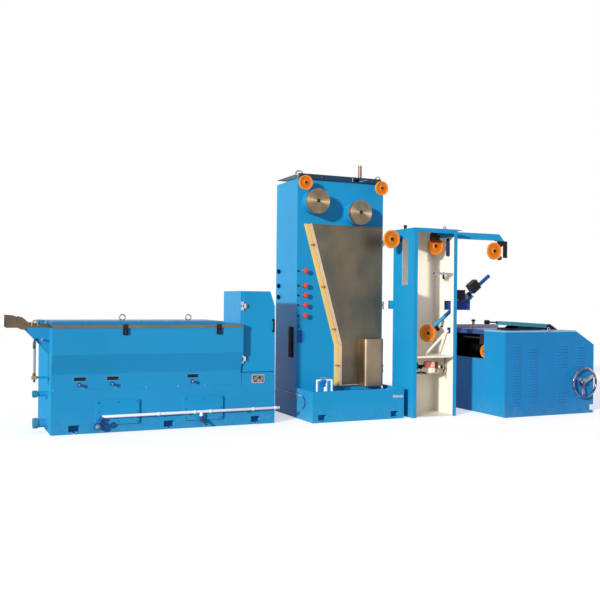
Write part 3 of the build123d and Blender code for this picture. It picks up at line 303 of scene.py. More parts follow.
rough = sums(sprayed, "ADD", given["Gloss Roughness"], spread(sprayed, fine, 0.3, 0.7, -0.05, 0.07))
rough = sums(sprayed, "ADD", rough, sums(sprayed, "MULTIPLY", dusty, 0.3))
set_inputs(sprayed, result, {"Colour": dusted, "Roughness": rough, "Height": skin})
print("group", sprayed.name)

# %% Pale edges: rubbed wear and painted highlight
edge_wear_and_highlight, given, result = new_group("rubbed_and_highlit_edge", {"Amount": 0.5, "Width": 0.004}, MASK)
# The mask lightens the colour where the surface turns: partly rubbed wear, partly painted highlight.
rounded = add_node(edge_wear_and_highlight, "ShaderNodeBevel", {"Radius": given["Width"]}, samples=4).outputs[0]
facing = add_node(edge_wear_and_highlight, "ShaderNodeNewGeometry").outputs["Normal"]
edge = spread(edge_wear_and_highlight, vector_sums(edge_wear_and_highlight, "DOT_PRODUCT", rounded, facing, output=1), 0.985, 0.86)
patch = spread(edge_wear_and_highlight, noise(edge_wear_and_highlight, spot_on(edge_wear_and_highlight), 22.0, 6.0), 0.42, 0.62)
mask = sums(edge_wear_and_highlight, "MULTIPLY", sums(edge_wear_and_highlight, "MULTIPLY", edge, patch), given["Amount"])
set_inputs(edge_wear_and_highlight, result, {"Mask": mask})
print("group", edge_wear_and_highlight.name)

# %% Lines left by brushing or turning a metal
brushed, given, result = new_group(
    "brushed_lines", {"Colour": GREY, "Along": (1.0, 60.0, 60.0), "Streak": 0.5, "Base Roughness": 0.3},
    SURFACE)
spot = spot_on(brushed)
lines = noise(brushed, vector_sums(brushed, "MULTIPLY", spot, given["Along"]), 5.0, 4.0)
cloud = noise(brushed, spot, 2.4, 5.0)
streak = sums(brushed, "MULTIPLY", spread(brushed, lines, 0.3, 0.7, -0.22, 0.22), given["Streak"])
tone = spread(brushed, cloud, 0.3, 0.7, -0.10, 0.10)
tone = sums(brushed, "ADD", sums(brushed, "ADD", streak, 1.0), tone)
rough = sums(brushed, "ADD", given["Base Roughness"], spread(brushed, lines, 0.3, 0.7, -0.06, 0.10))
rough = sums(brushed, "ADD", rough, spread(brushed, cloud, 0.35, 0.7, -0.04, 0.08))
set_inputs(brushed, result, {"Colour": vector_sums(brushed, "SCALE", given["Colour"], tone),
                             "Roughness": rough, "Height": lines})
print("group", brushed.name)

# %% A mask for one region of the model
boxed, given, result = new_group("inside_box", {"Low": (0.0, 0.0, 0.0), "High": (1.0, 1.0, 1.0)}, MASK)
spot = spot_on(boxed)
over = vector_sums(boxed, "SUBTRACT", spot, given["Low"])
under = vector_sums(boxed, "SUBTRACT", given["High"], spot)
nearest = vector_sums(boxed, "MINIMUM", over, under)
three = add_node(boxed, "ShaderNodeSeparateXYZ", {0: nearest}).outputs
least = sums(boxed, "MINIMUM", sums(boxed, "MINIMUM", three[0], three[1]), three[2])
set_inputs(boxed, result, {"Mask": sums(boxed, "GREATER_THAN", least, 0.0)})
print("group", boxed.name)

# %% [markdown]
# ## The materials
#
# A painted material is the sprayed skin, the pale edge (rubbed wear and painted highlight) and a
# Principled shader with a thin clear coat. A metal one is the brushed lines and a Principled shader
# with Metallic at 1.
# Two small makers build them, so each finish is one readable line with its colour and gloss.
# Colours are given as in a picture, from 0 to 255, and every finish is kept under its name.

# %% Makers for painted and metal finishes
finishes = {}
COAT_ROUGHNESS = 0.12
PAINT_RELIEF = 0.0006
METAL_RELIEF = 0.0005


def tint(colour):
    """A picture colour, 0 to 255, as the linear colour that a shader takes."""
    linear = []
    for value in colour:
        share = value / 255.0
        linear.append(share / 12.92 if share <= 0.04045 else ((share + 0.055) / 1.055) ** 2.4)
    return (*linear, 1.0)


def place_group(tree, group, inputs):
    """Puts a node group into a material with its own values."""
    return add_node(tree, "ShaderNodeGroup", inputs, node_tree=group).outputs


def new_material(name, colour, regions=()):
    """A material's tree, its shader and its colour, which changes inside each region."""
    material = bpy.data.materials.new(name)
    material.use_nodes = True
    finishes[name] = material
    tree = material.node_tree
    base = tint(colour)
    for low, high, other in regions:
        inside = place_group(tree, boxed, {"Low": low, "High": high})["Mask"]
        base = mix_colour(tree, inside, base, tint(other))
    return tree, tree.nodes["Principled BSDF"], base


def painted(name, colour, rough=0.35, mottle=0.6, dust=0.12, peel=0.10, coat=0.03, specular=0.14,
            edge=None, edge_amount=0.5, edge_width=0.004, regions=()):
    """A paint or plastic. Each region is (low, high, colour) in metres, in another colour."""
    tree, shader, base = new_material(name, colour, regions)
    skin = place_group(tree, sprayed, {"Colour": base, "Mottle": mottle, "Dust": dust,
                                       "Gloss Roughness": rough})
    top = skin["Colour"]
    # Pale edges: rubbed wear and painted highlight.
    if edge:
        mask = place_group(tree, edge_wear_and_highlight, {"Amount": edge_amount, "Width": edge_width})["Mask"]
        top = mix_colour(tree, mask, top, tint(edge))
    set_inputs(tree, shader, {
        "Base Color": top, "Roughness": skin["Roughness"],
        "Normal": bumped(tree, skin["Height"], peel, PAINT_RELIEF),
        "Specular IOR Level": specular, "Coat Weight": coat, "Coat Roughness": COAT_ROUGHNESS})


def metal(name, colour, rough=0.3, along=(6.0, 6.0, 6.0), streak=0.5, bump_strength=0.1, regions=(),
          patches=()):
    """A bare metal, with brushed lines along the axis whose number is the small one.

    Patches give it clouds of other colours, each with its own scale and share."""
    tree, shader, base = new_material(name, colour, regions)
    spot = spot_on(tree)
    for other, scale, share in patches:
        cloud = spread(tree, noise(tree, spot, scale, 3.0), 0.42, 0.62, 0.0, share)
        base = mix_colour(tree, cloud, base, tint(other))
    marks = place_group(tree, brushed, {"Colour": base, "Along": along, "Streak": streak,
                                        "Base Roughness": rough})
    set_inputs(tree, shader, {
        "Base Color": marks["Colour"], "Roughness": marks["Roughness"],
        "Normal": bumped(tree, marks["Height"], bump_strength, METAL_RELIEF), "Metallic": 1.0})


print("two makers ready")

# %% Paints and plastics
CREAM = (247, 244, 232)
BLUE = (28, 151, 206)
# BLUE_EDGE, BLACK_EDGE and CAP_EDGE colour pale edges: rubbed wear and painted highlight.
BLUE_EDGE = (110, 190, 226)
NAVY = (25, 75, 150)
BAY_BLUE = (28, 128, 190)
BLACK_EDGE = (120, 122, 126)
CAP_EDGE = (110, 130, 146)


def blue(name, colour=BLUE, rough=0.34, **more):
    """A blue sheet paint with pale edges: rubbed wear and painted highlight."""
    painted(name, colour, rough, edge=BLUE_EDGE, **more)


def navy(name, **more):
    """A dark blue paint for small castings."""
    painted(name, NAVY, 0.38, edge=(120, 150, 190), **more)


blue("blue_paint", edge_amount=0.55)
blue("bed_blue", (42, 152, 206), 0.42, coat=0.02, specular=0.0, edge_amount=0.55)
blue("bay_blue", (28, 125, 190), 0.36)
blue("lid_blue", (40, 130, 180), 0.42)
navy("navy_paint")
# The wide pale edges of the teal paint are a painted highlight along the lid's top.
painted("teal_paint", (58, 138, 158), 0.40, mottle=1.6, edge=(200, 226, 226), edge_amount=0.8,
        edge_width=0.008)
# The pale edges of the orange wheels are a painted highlight on their rims.
painted("orange_plastic", (236, 142, 46), 0.34, mottle=0.5, peel=0.05, edge=(250, 190, 110),
        edge_amount=0.4, edge_width=0.002)
# The web is a darker orange than the rim: painted shade in the recess between the rims.
painted("orange_web_painted_shade", (214, 118, 26), 0.45, peel=0.08)
painted("hub_brown", (104, 62, 22), 0.5, peel=0.05)
painted("black_paint", (26, 27, 30), 0.45, edge=BLACK_EDGE)
painted("cap_paint", (36, 62, 88), 0.45, edge=CAP_EDGE)
painted("cap_side", (74, 104, 112), 0.5, edge=CAP_EDGE)
painted("black_plastic", (20, 20, 23), 0.5, peel=0.25, dust=0.2)
painted("yellow_seal", (246, 212, 130), 0.62, peel=0.3, mottle=0.9, coat=0.0)
painted("red_paint", (208, 80, 76), 0.35, peel=0.05)
painted("clamp_red", (180, 84, 84), 0.4, peel=0.05)
painted("cream_paint", CREAM, 0.42, mottle=0.7, edge=(250, 248, 243))
painted("white_pipe", (238, 243, 250), 0.32, peel=0.05)
painted("plate_black", (18, 34, 42), 0.4, mottle=1.0)
painted("vent_dark", (12, 13, 26), 0.6, coat=0.0, specular=0.05)
painted("knob_blue", (36, 72, 150), 0.2, peel=0.05, coat=0.5, specular=0.5)
PLAIN_PAINTS = {
    "pale_rail": (236, 228, 220, 0.5),
    "label_rim": (92, 164, 206, 0.4),
    "switch_navy": (44, 46, 92, 0.5),
    "latch_brown": (50, 34, 44, 0.45),
    "valve_blue": (22, 118, 200, 0.4),
    "deep_blue": (28, 92, 176, 0.4),
    "gauge_grey": (168, 174, 176, 0.3),
    "dial_red": (206, 104, 96, 0.4),
    "blush_plastic": (240, 196, 176, 0.4),
    "tan_rubber": (178, 156, 126, 0.6),
    "brown_hose": (96, 78, 70, 0.5),
    "fitting_dark": (40, 38, 36, 0.5),
    "fitting_grey": (84, 90, 86, 0.4),
    "side_pipe": (150, 178, 206, 0.35),
    # The next two colours paint the shadow across the dancer's top sheave; the brown one also colours a
    # fitting of the air set.
    "shadow_band_dark": (58, 34, 26, 0.5),
    "brown_and_shadow_band": (112, 44, 30, 0.5),
}
for name, (*colour, rough) in PLAIN_PAINTS.items():
    painted(name, colour, rough)
print("paints:", len(finishes))

# %% Metals
# On the stainless, the lighter warm region on the door's bulge and the dark and golden clouds are painted
# reflections; the chute region is the chute's own colour.
BULGE_REFLECTION = ((0.630, -0.200, 0.400), (1.020, 0.0295, 1.075), (156, 138, 114))
CHUTE = ((-4.100, -0.100, 1.150), (-3.400, 0.300, 1.450), (112, 96, 78))
metal("stainless", (112, 107, 92), 0.40, (60.0, 60.0, 1.2), regions=(BULGE_REFLECTION, CHUTE),
      patches=(((82, 84, 80), 1.7, 0.55), ((134, 112, 88), 2.9, 0.35)))
metal("plate_mottled", (34, 40, 46), 0.5, streak=0.2,
      patches=(((150, 112, 66), 26.0, 0.75), ((190, 200, 206), 34.0, 0.55)))
metal("ring_steel", (150, 150, 128), 0.45, streak=0.4)
metal("rim_steel", (124, 114, 96), 0.26, (1.2, 60.0, 60.0), streak=0.6)
metal("chrome", (205, 205, 208), 0.10, streak=0.2, bump_strength=0.02)
# The brown and blue clouds on the handwheel's chrome are painted reflections of the cabinet and its
# surroundings.
metal("wheel_chrome", (176, 172, 176), 0.12, streak=0.3, bump_strength=0.02,
      patches=(((96, 52, 34), 9.0, 0.9), ((34, 78, 148), 7.0, 0.9)))
metal("bolt_steel", (120, 122, 126), 0.35, (9.0, 9.0, 9.0), streak=0.6)
metal("brass", (168, 138, 84), 0.34, (8.0, 8.0, 8.0))
metal("dark_rail", (62, 58, 62), 0.45, (20.0, 1.0, 20.0), streak=0.6)
metal("brown_steel", (138, 116, 108), 0.5, (40.0, 40.0, 3.0), streak=0.8)
metal("lip_steel", (218, 194, 166), 0.5, (20.0, 20.0, 1.0))
metal("seal_lip", (196, 184, 188), 0.3, (20.0, 20.0, 1.0), streak=0.4)
print("paints and metals:", len(finishes))

# %% Inside and outside of one folded sheet; painted shade and highlights on the take-up
SHAFT_END = (60, 38, 24)
# A pale band along the top of the take-up's front and left wall is a painted highlight.
TOP_EDGE_HIGHLIGHT = (136, 188, 218)
# The take-up's inside walls are near black: painted shade inside the bay.
BAY_PAINTED_SHADE = ((2.4405, -0.9125, 0.03), (3.966, 0.4295, 1.1665), (30, 34, 40))
FRONT_TOP_HIGHLIGHT = ((2.40, -0.950, 1.176), (3.67, -0.9110, 1.200), TOP_EDGE_HIGHLIGHT)
# The dark patch on the deck's left part is the dancer frame's shadow, painted.
DECK_PAINTED_SHADOW = ((2.450, -0.880, 1.190), (2.770, 0.380, 1.200), (48, 74, 136))
SIDE_TOP_HIGHLIGHT = ((2.40, -0.950, 1.176), (2.45, 0.440, 1.200), TOP_EDGE_HIGHLIGHT)
# The navy band on the left wall above the side opening is the dancer frame's shadow, painted.
SIDE_PAINTED_SHADOW = ((2.40, -0.4565, 1.129), (2.45, 0.440, 1.200), (44, 84, 152))
blue("blue_outside_cream_inside_left", regions=(((1.195, -0.5215, 0.005), (1.30, 0.0275, 2.5), CREAM),))
blue("blue_outside_cream_inside_right", regions=(((1.80, -0.5215, 0.005), (1.8895, 0.0275, 2.5), CREAM),))
blue("blue_outside_cream_inside_back", regions=(((1.19, -0.5150, 0.005), (1.90, 0.0262, 2.5935), CREAM),))
blue("blue_outside_dark_inside", regions=(((-1.16, -0.220, 0.70), (-0.77, 0.110, 1.47), (70, 84, 96)),))
blue("tower_blue_dark_chamber", regions=(((-0.20, 0.090, 0.40), (1.02, 0.305, 2.62), (92, 90, 84)),))
blue("blue_with_dark_shaft_ends", regions=(((-0.36, -0.130, 2.60), (1.06, -0.060, 3.30), SHAFT_END),))
blue("bay_blue_painted_shade_inside", BAY_BLUE, 0.36, regions=(BAY_PAINTED_SHADE, FRONT_TOP_HIGHLIGHT))
blue("deck_blue_with_painted_shadow", BAY_BLUE, 0.36, regions=(BAY_PAINTED_SHADE, DECK_PAINTED_SHADOW))
blue("side_blue_painted_shade_inside", (24, 142, 200), 0.36, regions=(BAY_PAINTED_SHADE, SIDE_TOP_HIGHLIGHT, SIDE_PAINTED_SHADOW))
navy("navy_with_dark_shaft_end", regions=(((1.50, -0.320, 1.08), (1.860, -0.200, 1.50), (58, 156, 204)),
                                          ((1.52, -0.320, 1.08), (1.63, -0.2625, 1.21), SHAFT_END)))
navy("navy_with_black_sensor", regions=(((1.890, -0.420, 1.6165), (2.130, -0.320, 1.770), (20, 20, 23)),))
print("all finishes:", len(finishes))

# %% Give each CAD node its finish
NODES_OF_FINISH = {
    "bed_blue": "drawing_bed gearbox_casing drawing_tub inlet_hopper",
    "blue_paint": "inspection_covers housing_door tower_base upper_arm end_pipes coolant_valves",
    "blue_outside_dark_inside": "end_housing",
    "tower_blue_dark_chamber": "tower_casing",
    "lid_blue": "tub_lids",
    "teal_paint": "takeup_lid",
    "bay_blue_painted_shade_inside": "takeup_front takeup_back takeup_floor",
    "deck_blue_with_painted_shadow": "takeup_deck",
    "side_blue_painted_shade_inside": "takeup_left_wall",
    "navy_with_black_sensor": "pivot_cheeks",
    "blue_with_dark_shaft_ends": "drum_collars",
    "bay_blue": "handwheel_boss",
    "blue_outside_cream_inside_left": "dancer_left_wall",
    "blue_outside_cream_inside_right": "dancer_right_wall",
    "blue_outside_cream_inside_back": "dancer_back",
    "cream_paint": "dancer_floor dancer_shelf",
    "stainless": "annealer_door inlet_chute",
    "rim_steel": "tub_rim",
    "dark_rail": "traverse_rail",
    "navy_with_dark_shaft_end": "dancer_lever",
    "cap_paint": "tower_cap",
    "black_paint": "counterweight arm_hanger sheave_brackets bay_coaming lid_brackets door_handle "
                   "tub_latches control_knobs",
    "chrome": "door_hinges handwheel contact_drum_left contact_drum_right",
    "brass": "air_regulator",
    "white_pipe": "coolant_pipe water_line",
    "brown_steel": "cap_post",
    "yellow_seal": "door_seal",
    "orange_plastic": "tower_sheave_left tower_sheave_right outer_sheave top_sheave arm_sheave "
                      "lever_sheave traverse_sheave",
}
finished = set()
for name, nodes in NODES_OF_FINISH.items():
    for node in nodes.split():
        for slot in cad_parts[node].material_slots:
            slot.material = finishes[name]
        finished.add(node)
print("nodes finished:", len(finished), "left plain:", sorted(set(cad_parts) - finished))

# %% [markdown]
# ## Makers for small pieces
#
# The small pieces are built with bmesh operators. A Collector makes shapes, each from a ready
# shape or a few points, remembers which finish each one has, and becomes one object at the origin
# that rides on its CAD body. From here on all places and sizes are given in millimetres, as on a
# workshop drawing, and the makers turn them into metres.

# %% Small helpers for shapes
MM = 0.001
FRONT = Vector((0.0, -1.0, 0.0))
BACK = Vector((0.0, 1.0, 0.0))
LEFT = Vector((-1.0, 0.0, 0.0))


def metres(point):
    """A point given in millimetres, in metres."""
    return Vector(point) * MM


def cad_box(node):
    """The two corners of a CAD node's box, in millimetres."""
    low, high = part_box(node)
    return low / MM, high / MM


def bevel(shape, edges, size, segments):
    """Rounds some edges of a shape."""
    bmesh.ops.bevel(shape, geom=edges, offset=size * MM, offset_type="OFFSET", segments=segments,
                    profile=0.5, affect="EDGES", material=-1, clamp_overlap=True)


def soften(shape, size, segments=2, sharp_over=30.0):
    """Rounds the edges that are sharper than an angle; a size of 0 leaves them."""
    if size:
        limit = math.radians(sharp_over)
        edges = [e for e in shape.edges if len(e.link_faces) == 2 and e.calc_face_angle() > limit]
        bevel(shape, edges, size, segments)


def cuboid(low, high):
    """A sharp block between two corners."""
    low, high = metres(low), metres(high)
    shape = bmesh.new()
    bmesh.ops.create_cube(shape, size=1.0)
    bmesh.ops.scale(shape, vec=high - low, verts=shape.verts)
    bmesh.ops.translate(shape, vec=(low + high) / 2.0, verts=shape.verts)
    return shape


def set_down(shape, centre, axis):
    """Turns a shape from the Z axis to another axis and moves it to a centre in metres."""
    turn = Vector(axis).to_track_quat("Z", "Y").to_matrix().to_4x4()
    bmesh.ops.transform(shape, matrix=Matrix.Translation(centre) @ turn, verts=shape.verts)


print("shape helpers ready")

# %% The collector that makes the shapes
ROD_SHARP = 50.0
PIPE_ORDER = 3
PIPE_ROUNDNESS = 3
PIPE_STEPS = 6
SMOOTH_BELOW = math.radians(35.0)


class Collector:
    """Makes shapes with their finishes and turns them into one piece."""

    def __init__(self):
        self.bm = bmesh.new()
        self.finishes = []

    def add(self, finish, shape):
        """Takes in a finished shape, in metres."""
        if finish not in self.finishes:
            self.finishes.append(finish)
        bmesh.ops.remove_doubles(shape, verts=shape.verts, dist=1e-6)
        bmesh.ops.recalc_face_normals(shape, faces=shape.faces)
        for face in shape.faces:
            face.material_index = self.finishes.index(finish)
        passing = bpy.data.meshes.new("passing")
        shape.to_mesh(passing)
        shape.free()
        self.bm.from_mesh(passing)
        bpy.data.meshes.remove(passing)

    def block(self, finish, low, high, rounding=2.0, segments=2):
        """A block between two corners, with rounded edges."""
        shape = cuboid(low, high)
        soften(shape, rounding, segments)
        self.add(finish, shape)

    def rod(self, finish, start, end, radius, sides=24, rounding=0.0):
        """A round bar from one point to another."""
        start, end = metres(start), metres(end)
        along = end - start
        shape = bmesh.new()
        bmesh.ops.create_cone(shape, cap_ends=True, cap_tris=False, segments=sides, radius1=radius * MM,
                              radius2=radius * MM, depth=along.length)
        set_down(shape, (start + end) / 2.0, along)
        soften(shape, rounding, 2, ROD_SHARP)
        self.add(finish, shape)

    def pin(self, finish, foot, way, radius, sides=24, rounding=0.0):
        """A round bar that stands on a foot point and goes one way."""
        self.rod(finish, foot, Vector(foot) + way, radius, sides, rounding)

    def bolt(self, finish, foot, axis, size, height):
        """A washer and a hexagon head; the foot is on the surface and the axis points outwards."""
        foot = Vector(foot)
        self.rod(finish, foot - axis * 2.0, foot + axis * 1.5, size * 1.35, 16)
        self.pin(finish, foot, axis * height, size, 6, size * 0.12)

    def spun(self, finish, profile, centre, axis=UP, steps=32):
        """Turns a profile of (radius, along) points round an axis, as on a lathe."""
        shape = bmesh.new()
        points = [shape.verts.new((radius * MM, 0.0, along * MM)) for radius, along in profile]
        edges = [shape.edges.new(pair) for pair in zip(points, points[1:])]
        if profile[0][0] and profile[-1][0]:
            edges.append(shape.edges.new((points[-1], points[0])))
        bmesh.ops.spin(shape, geom=points + edges, cent=(0.0, 0.0, 0.0), axis=UP,
                       angle=2.0 * math.pi, steps=steps, use_merge=True)
        set_down(shape, metres(centre), axis)
        self.add(finish, shape)

    def ring(self, finish, centre, axis, radius, wire, steps=40, sides=12):
        """A round ring of wire."""
        angles = [2.0 * math.pi * step / sides for step in range(sides)]
        profile = [(radius + wire * math.cos(angle), wire * math.sin(angle)) for angle in angles]
        self.spun(finish, profile, centre, axis, steps)

    def plate(self, finish, outline, depth, rounding=1.0):
        """A flat outline of points, pushed along a depth vector."""
        shape = bmesh.new()
        face = shape.faces.new([shape.verts.new(metres(point)) for point in outline])
        grown = bmesh.ops.extrude_face_region(shape, geom=[face])["geom"]
        moved = [item for item in grown if isinstance(item, bmesh.types.BMVert)]
        bmesh.ops.translate(shape, vec=metres(depth), verts=moved)
        soften(shape, rounding, 1)
        self.add(finish, shape)

    def pipe(self, finish, points, radius):
        """A smooth bent pipe along a few points."""
        data = bpy.data.curves.new("bent", "CURVE")
        data.dimensions = "3D"
        data.bevel_depth = radius * MM
        data.bevel_resolution = PIPE_ROUNDNESS
        data.use_fill_caps = True
        line = data.splines.new("NURBS")
        line.points.add(len(points) - 1)
        for place, point in zip(line.points, points):
            place.co = (*metres(point), 1.0)
        line.order_u = PIPE_ORDER
        line.use_endpoint_u = True
        line.resolution_u = PIPE_STEPS
        holder = bpy.data.objects.new("bent", data)
        made = bpy.data.meshes.new_from_object(holder)
        shape = bmesh.new()
        shape.from_mesh(made)
        bpy.data.objects.remove(holder)
        bpy.data.curves.remove(data)
        bpy.data.meshes.remove(made)
        self.add(finish, shape)

    def finish(self, name, body, slot, stands_for=()):
        """Makes the piece, which rides on a body and may stand for some CAD nodes."""
        data = bpy.data.meshes.new(name)
        self.bm.to_mesh(data)
        self.bm.free()
        for finish in self.finishes:
            data.materials.append(finishes[finish])
        for polygon in data.polygons:
            polygon.use_smooth = True
        data.set_sharp_from_angle(angle=SMOOTH_BELOW)
        piece = bpy.data.objects.new(name, data)
        scene.collection.objects.link(piece)
        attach(piece, body)
        if stands_for:
            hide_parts(*stands_for)
        print(name, "faces:", len(data.polygons))


print("collector ready")

# %% [markdown]
# ## Grooved wheels
#
# The wire rides on moulded wheels: a rim with a groove, a thin web set back from the rim, and a
# thick hub on a bearing. Such a round piece comes off a lathe, so its half profile is drawn once,
# mirrored and spun. Its numbers are shares of the radius and of half the width, so the same
# profile fits each wheel from the box of the CAD wheel that it stands for.

# %% Turn the seven wheels
RIM = ((0.885, 0.0), (0.90, 0.16), (0.985, 0.62), (1.0, 0.86), (0.985, 1.0), (0.84, 1.0), (0.80, 0.92),
       (0.785, 0.42))
WEB = ((0.79, 0.42), (0.30, 0.42))
HUB = ((0.34, 0.42), (0.33, 0.7), (0.29, 1.0), (0.18, 1.0))
WHEELS = (("tower_sheave_left", "corner_sheave_left", 1), ("tower_sheave_right", "corner_sheave_right", 1),
          ("outer_sheave", "entry_sheave", 1), ("top_sheave", "upper_sheave", 1),
          ("arm_sheave", "boom_sheave", 1), ("lever_sheave", "dancer_sheave", 1),
          ("traverse_sheave", "guide_sheave", 0))
for node, body, axis_index in WHEELS:
    wheel = Collector()
    low, high = cad_box(node)
    centre = (low + high) / 2.0
    half_width = (high - low)[axis_index] / 2.0
    radius = (high - low).z / 2.0
    axis = Vector((0.0, 0.0, 0.0))
    axis[axis_index] = 1.0
    # The set-back web takes the darker orange, which is painted shade.
    for finish, half_profile, steps in (("orange_plastic", RIM, 72), ("orange_web_painted_shade", WEB, 72),
                                        ("orange_plastic", HUB, 48)):
        mirrored = [(share, -along) for share, along in reversed(half_profile) if along]
        profile = [(radius * share, half_width * along) for share, along in [*half_profile, *mirrored]]
        wheel.spun(finish, profile, centre, axis, steps)
    bearing = axis * half_width * 0.80
    wheel.rod("hub_brown", centre - bearing, centre + bearing, radius * 0.185, 32)
    wheel.pin("hub_brown", centre, -axis * (half_width + 1.5), radius * 0.23, 32, 1)
    wheel.pin("black_plastic", centre, -axis * (half_width + 3.5), radius * 0.15, 24, 1)
    wheel.finish("turned_" + node, body, "orange_paint", stands_for=(node,))

# %% [markdown]
# ## Contact drums
#
# The two bright drums carry the current into the wire. They are turned from solid metal, and the
# tool leaves fine rings on the face. A highlight on such a face spreads across the rings as a
# bright wedge. Anisotropy gives that wedge, and its direction at each spot is simply the way from
# the drum's centre to that spot.

# %% A finish for turned faces
DRUM_COLOUR = (170, 156, 132)
# The brown clouds on the drum face are painted reflections of the surroundings.
DRUM_REFLECTION_TINT = (150, 104, 66)


def turned_metal(name, colour, centre):
    """Metal turned round the Y axis through a centre in metres."""
    tree, shader, base = new_material(name, colour)
    spot = spot_on(tree)
    centred = add_node(tree, "ShaderNodeMapping", {"Vector": spot, "Location": -centre}).outputs[0]
    flat = vector_sums(tree, "MULTIPLY", centred, (1.0, 0.0, 1.0))
    away = vector_sums(tree, "LENGTH", flat, output=1)

    def round_noise(scale, detail):
        """Noise that changes only with the distance from the centre."""
        inputs = {"W": sums(tree, "MULTIPLY", away, scale), "Detail": detail}
        return add_node(tree, "ShaderNodeTexNoise", inputs, noise_dimensions="1D").outputs[0]

    rings = round_noise(420.0, 3.0)
    cloud = spread(tree, noise(tree, spot, 7.0, 4.0), 0.3, 0.7, -0.12, 0.12)
    tone = sums(tree, "ADD", spread(tree, rings, 0.3, 0.7, 0.80, 1.10), cloud)
    # Broad light and dark bands across the face: partly the turned steps, partly painted reflection.
    tone = sums(tree, "MULTIPLY", tone, spread(tree, round_noise(75.0, 1.0), 0.35, 0.65, 0.66, 1.22))
    patch = spread(tree, noise(tree, spot, 9.0, 2.0), 0.42, 0.60, 0.0, 0.28)
    base = mix_colour(tree, patch, base, tint(DRUM_REFLECTION_TINT))
    set_inputs(tree, shader, {
        "Base Color": vector_sums(tree, "SCALE", base, tone),
        "Roughness": spread(tree, rings, 0.3, 0.7, 0.58, 0.70),
        "Normal": bumped(tree, rings, 0.2, 0.0006),
        "Tangent": vector_sums(tree, "NORMALIZE", flat), "Metallic": 1.0, "Anisotropic": 0.90})


print("turned finish ready")

# %% Turn the two drums
for side in ("left", "right"):
    low, high = cad_box("contact_drum_" + side)
    centre = (low + high) / 2.0
    half = (high.y - low.y) / 2.0
    radius = (high.z - low.z) / 2.0
    face = "drum_face_" + side
    turned_metal(face, DRUM_COLOUR, centre * MM)
    profile = [(24, 4 - half), (28, -half), (52, -half), (55, 3 - half), (88, 3 - half), (91, 1.5 - half),
               (128, 1.5 - half), (131, -half), (radius - 6, -half), (radius, 6 - half),
               (radius, -half * 0.55), (radius - 4, -half * 0.50), (radius - 4, half * 0.50),
               (radius, half * 0.55), (radius, half - 4), (radius - 4, half), (24, half)]
    drum = Collector()
    drum.spun(face, profile, centre, BACK, 96)
    middle = centre + FRONT * half
    # The black plug inside the bore is painted shade that makes the hole look dark.
    drum.rod("black_plastic", middle + BACK * 30, middle + BACK * 8, 24.5)
    drum.rod("hub_brown", middle + BACK * 20, middle + BACK * 3, 11, 6)
    drum.finish("turned_drum_" + side, "drum_" + side, "drum_steel", stands_for=("contact_drum_" + side,))

# %% [markdown]
# ## The tub's lids, labels and knobs
#
# The lids are lifted off by eye bolts: a collar, a shank and a ring of round bar. Each knob below
# the tub is a turned blue button on a stem, under a label plate that is left bare here. A row of
# small drain screws runs along the joint between the tub's bed and its casing.

# %% Lifting eyes on the lids


def lifting_eye(collector, foot, facing, radius, wire, finish="ring_steel"):
    """An eye bolt that stands at a foot point, its ring facing one way."""
    foot = Vector(foot)
    collector.rod(finish, foot - UP, foot + UP * 7, wire * 2.4, 24, 2)
    collector.pin(finish, foot, UP * 18, wire * 1.25, 16)
    collector.ring(finish, foot + UP * (12 + radius + wire), facing, radius, wire)


tub_front = cad_box("drawing_bed")[0].y
lid_top = cad_box("tub_lids")[1].z
eyes = Collector()
lifting_eye(eyes, (-2672, -101, lid_top - 10), (-0.15, -1.0, 0.0), 33, 8)
lifting_eye(eyes, (-1848, -101, lid_top - 10), (-0.25, -1.0, 0.0), 33, 8)
eyes.pipe("ring_steel", [(-3714, -88, 1262), (-3712, -88, 1306), (-3680, -88, 1330), (-3648, -88, 1306),
                         (-3646, -88, 1262)], 9.5)
eyes.block("lid_blue", (-3640, -80, 1279), (-3572, 160, 1331), 4)
for x in (-3050, -2300, -2160, -1580):
    eyes.bolt("bolt_steel", (x, -285, lid_top), UP, 7, 5)
eyes.finish("lid_lifting_eyes", "frame", "steel")

# %% Label plates, maker's plate and joint screws
KNOB_X = (-3198, -2816, -1834)
labels = Collector()
for x in KNOB_X:
    low = Vector((x - 70, tub_front - 1.6, 616))
    high = Vector((x + 84, tub_front + 1, 670))
    labels.block("label_rim", low, high, 0.8, 1)
    labels.block("plate_black", low + Vector((7, -1.2, 6)), high - Vector((7, 0, 6)), 0.6, 1)
    for side in (-56, 70):
        labels.pin("bolt_steel", (x + side, low.y - 1.2, 643), FRONT * 1.5, 3.5, 10)
low = Vector((-1046, tub_front - 3, 526))
high = Vector((-874, tub_front + 1, 634))
labels.block("seal_lip", low, high, 1.2, 1)
labels.block("plate_mottled", low + Vector((9, -1.5, 9)), high - Vector((9, 0, 9)), 0.6, 1)
for x in (low.x + 6, high.x - 6):
    for z in (low.z + 6, high.z - 6):
        labels.pin("bolt_steel", (x, low.y, z), FRONT * 2.5, 4, 10)
for x in (-3490, -3144, -2771, -2406, -2012, -1668):
    labels.pin("side_pipe", (x, tub_front, 522), FRONT * 6, 7.5, 12, 2)
labels.finish("label_plates_and_screws", "frame", "black_paint")
seam = Collector()
seam.block("bay_blue", (-3512, tub_front - 0.8, 518.5), (-1200, tub_front + 1, 521.5), 0.3, 1)
seam.block("navy_paint", (-1191, tub_front - 0.8, 507), (-1184, tub_front + 1, 664), 0.3, 1)
seam.block("navy_paint", (-1197, tub_front - 0.9, 662.5), (-729, tub_front + 25.5, 666.2), 0.3, 1)
seam.finish("casing_joint_lines", "frame", "navy_paint")

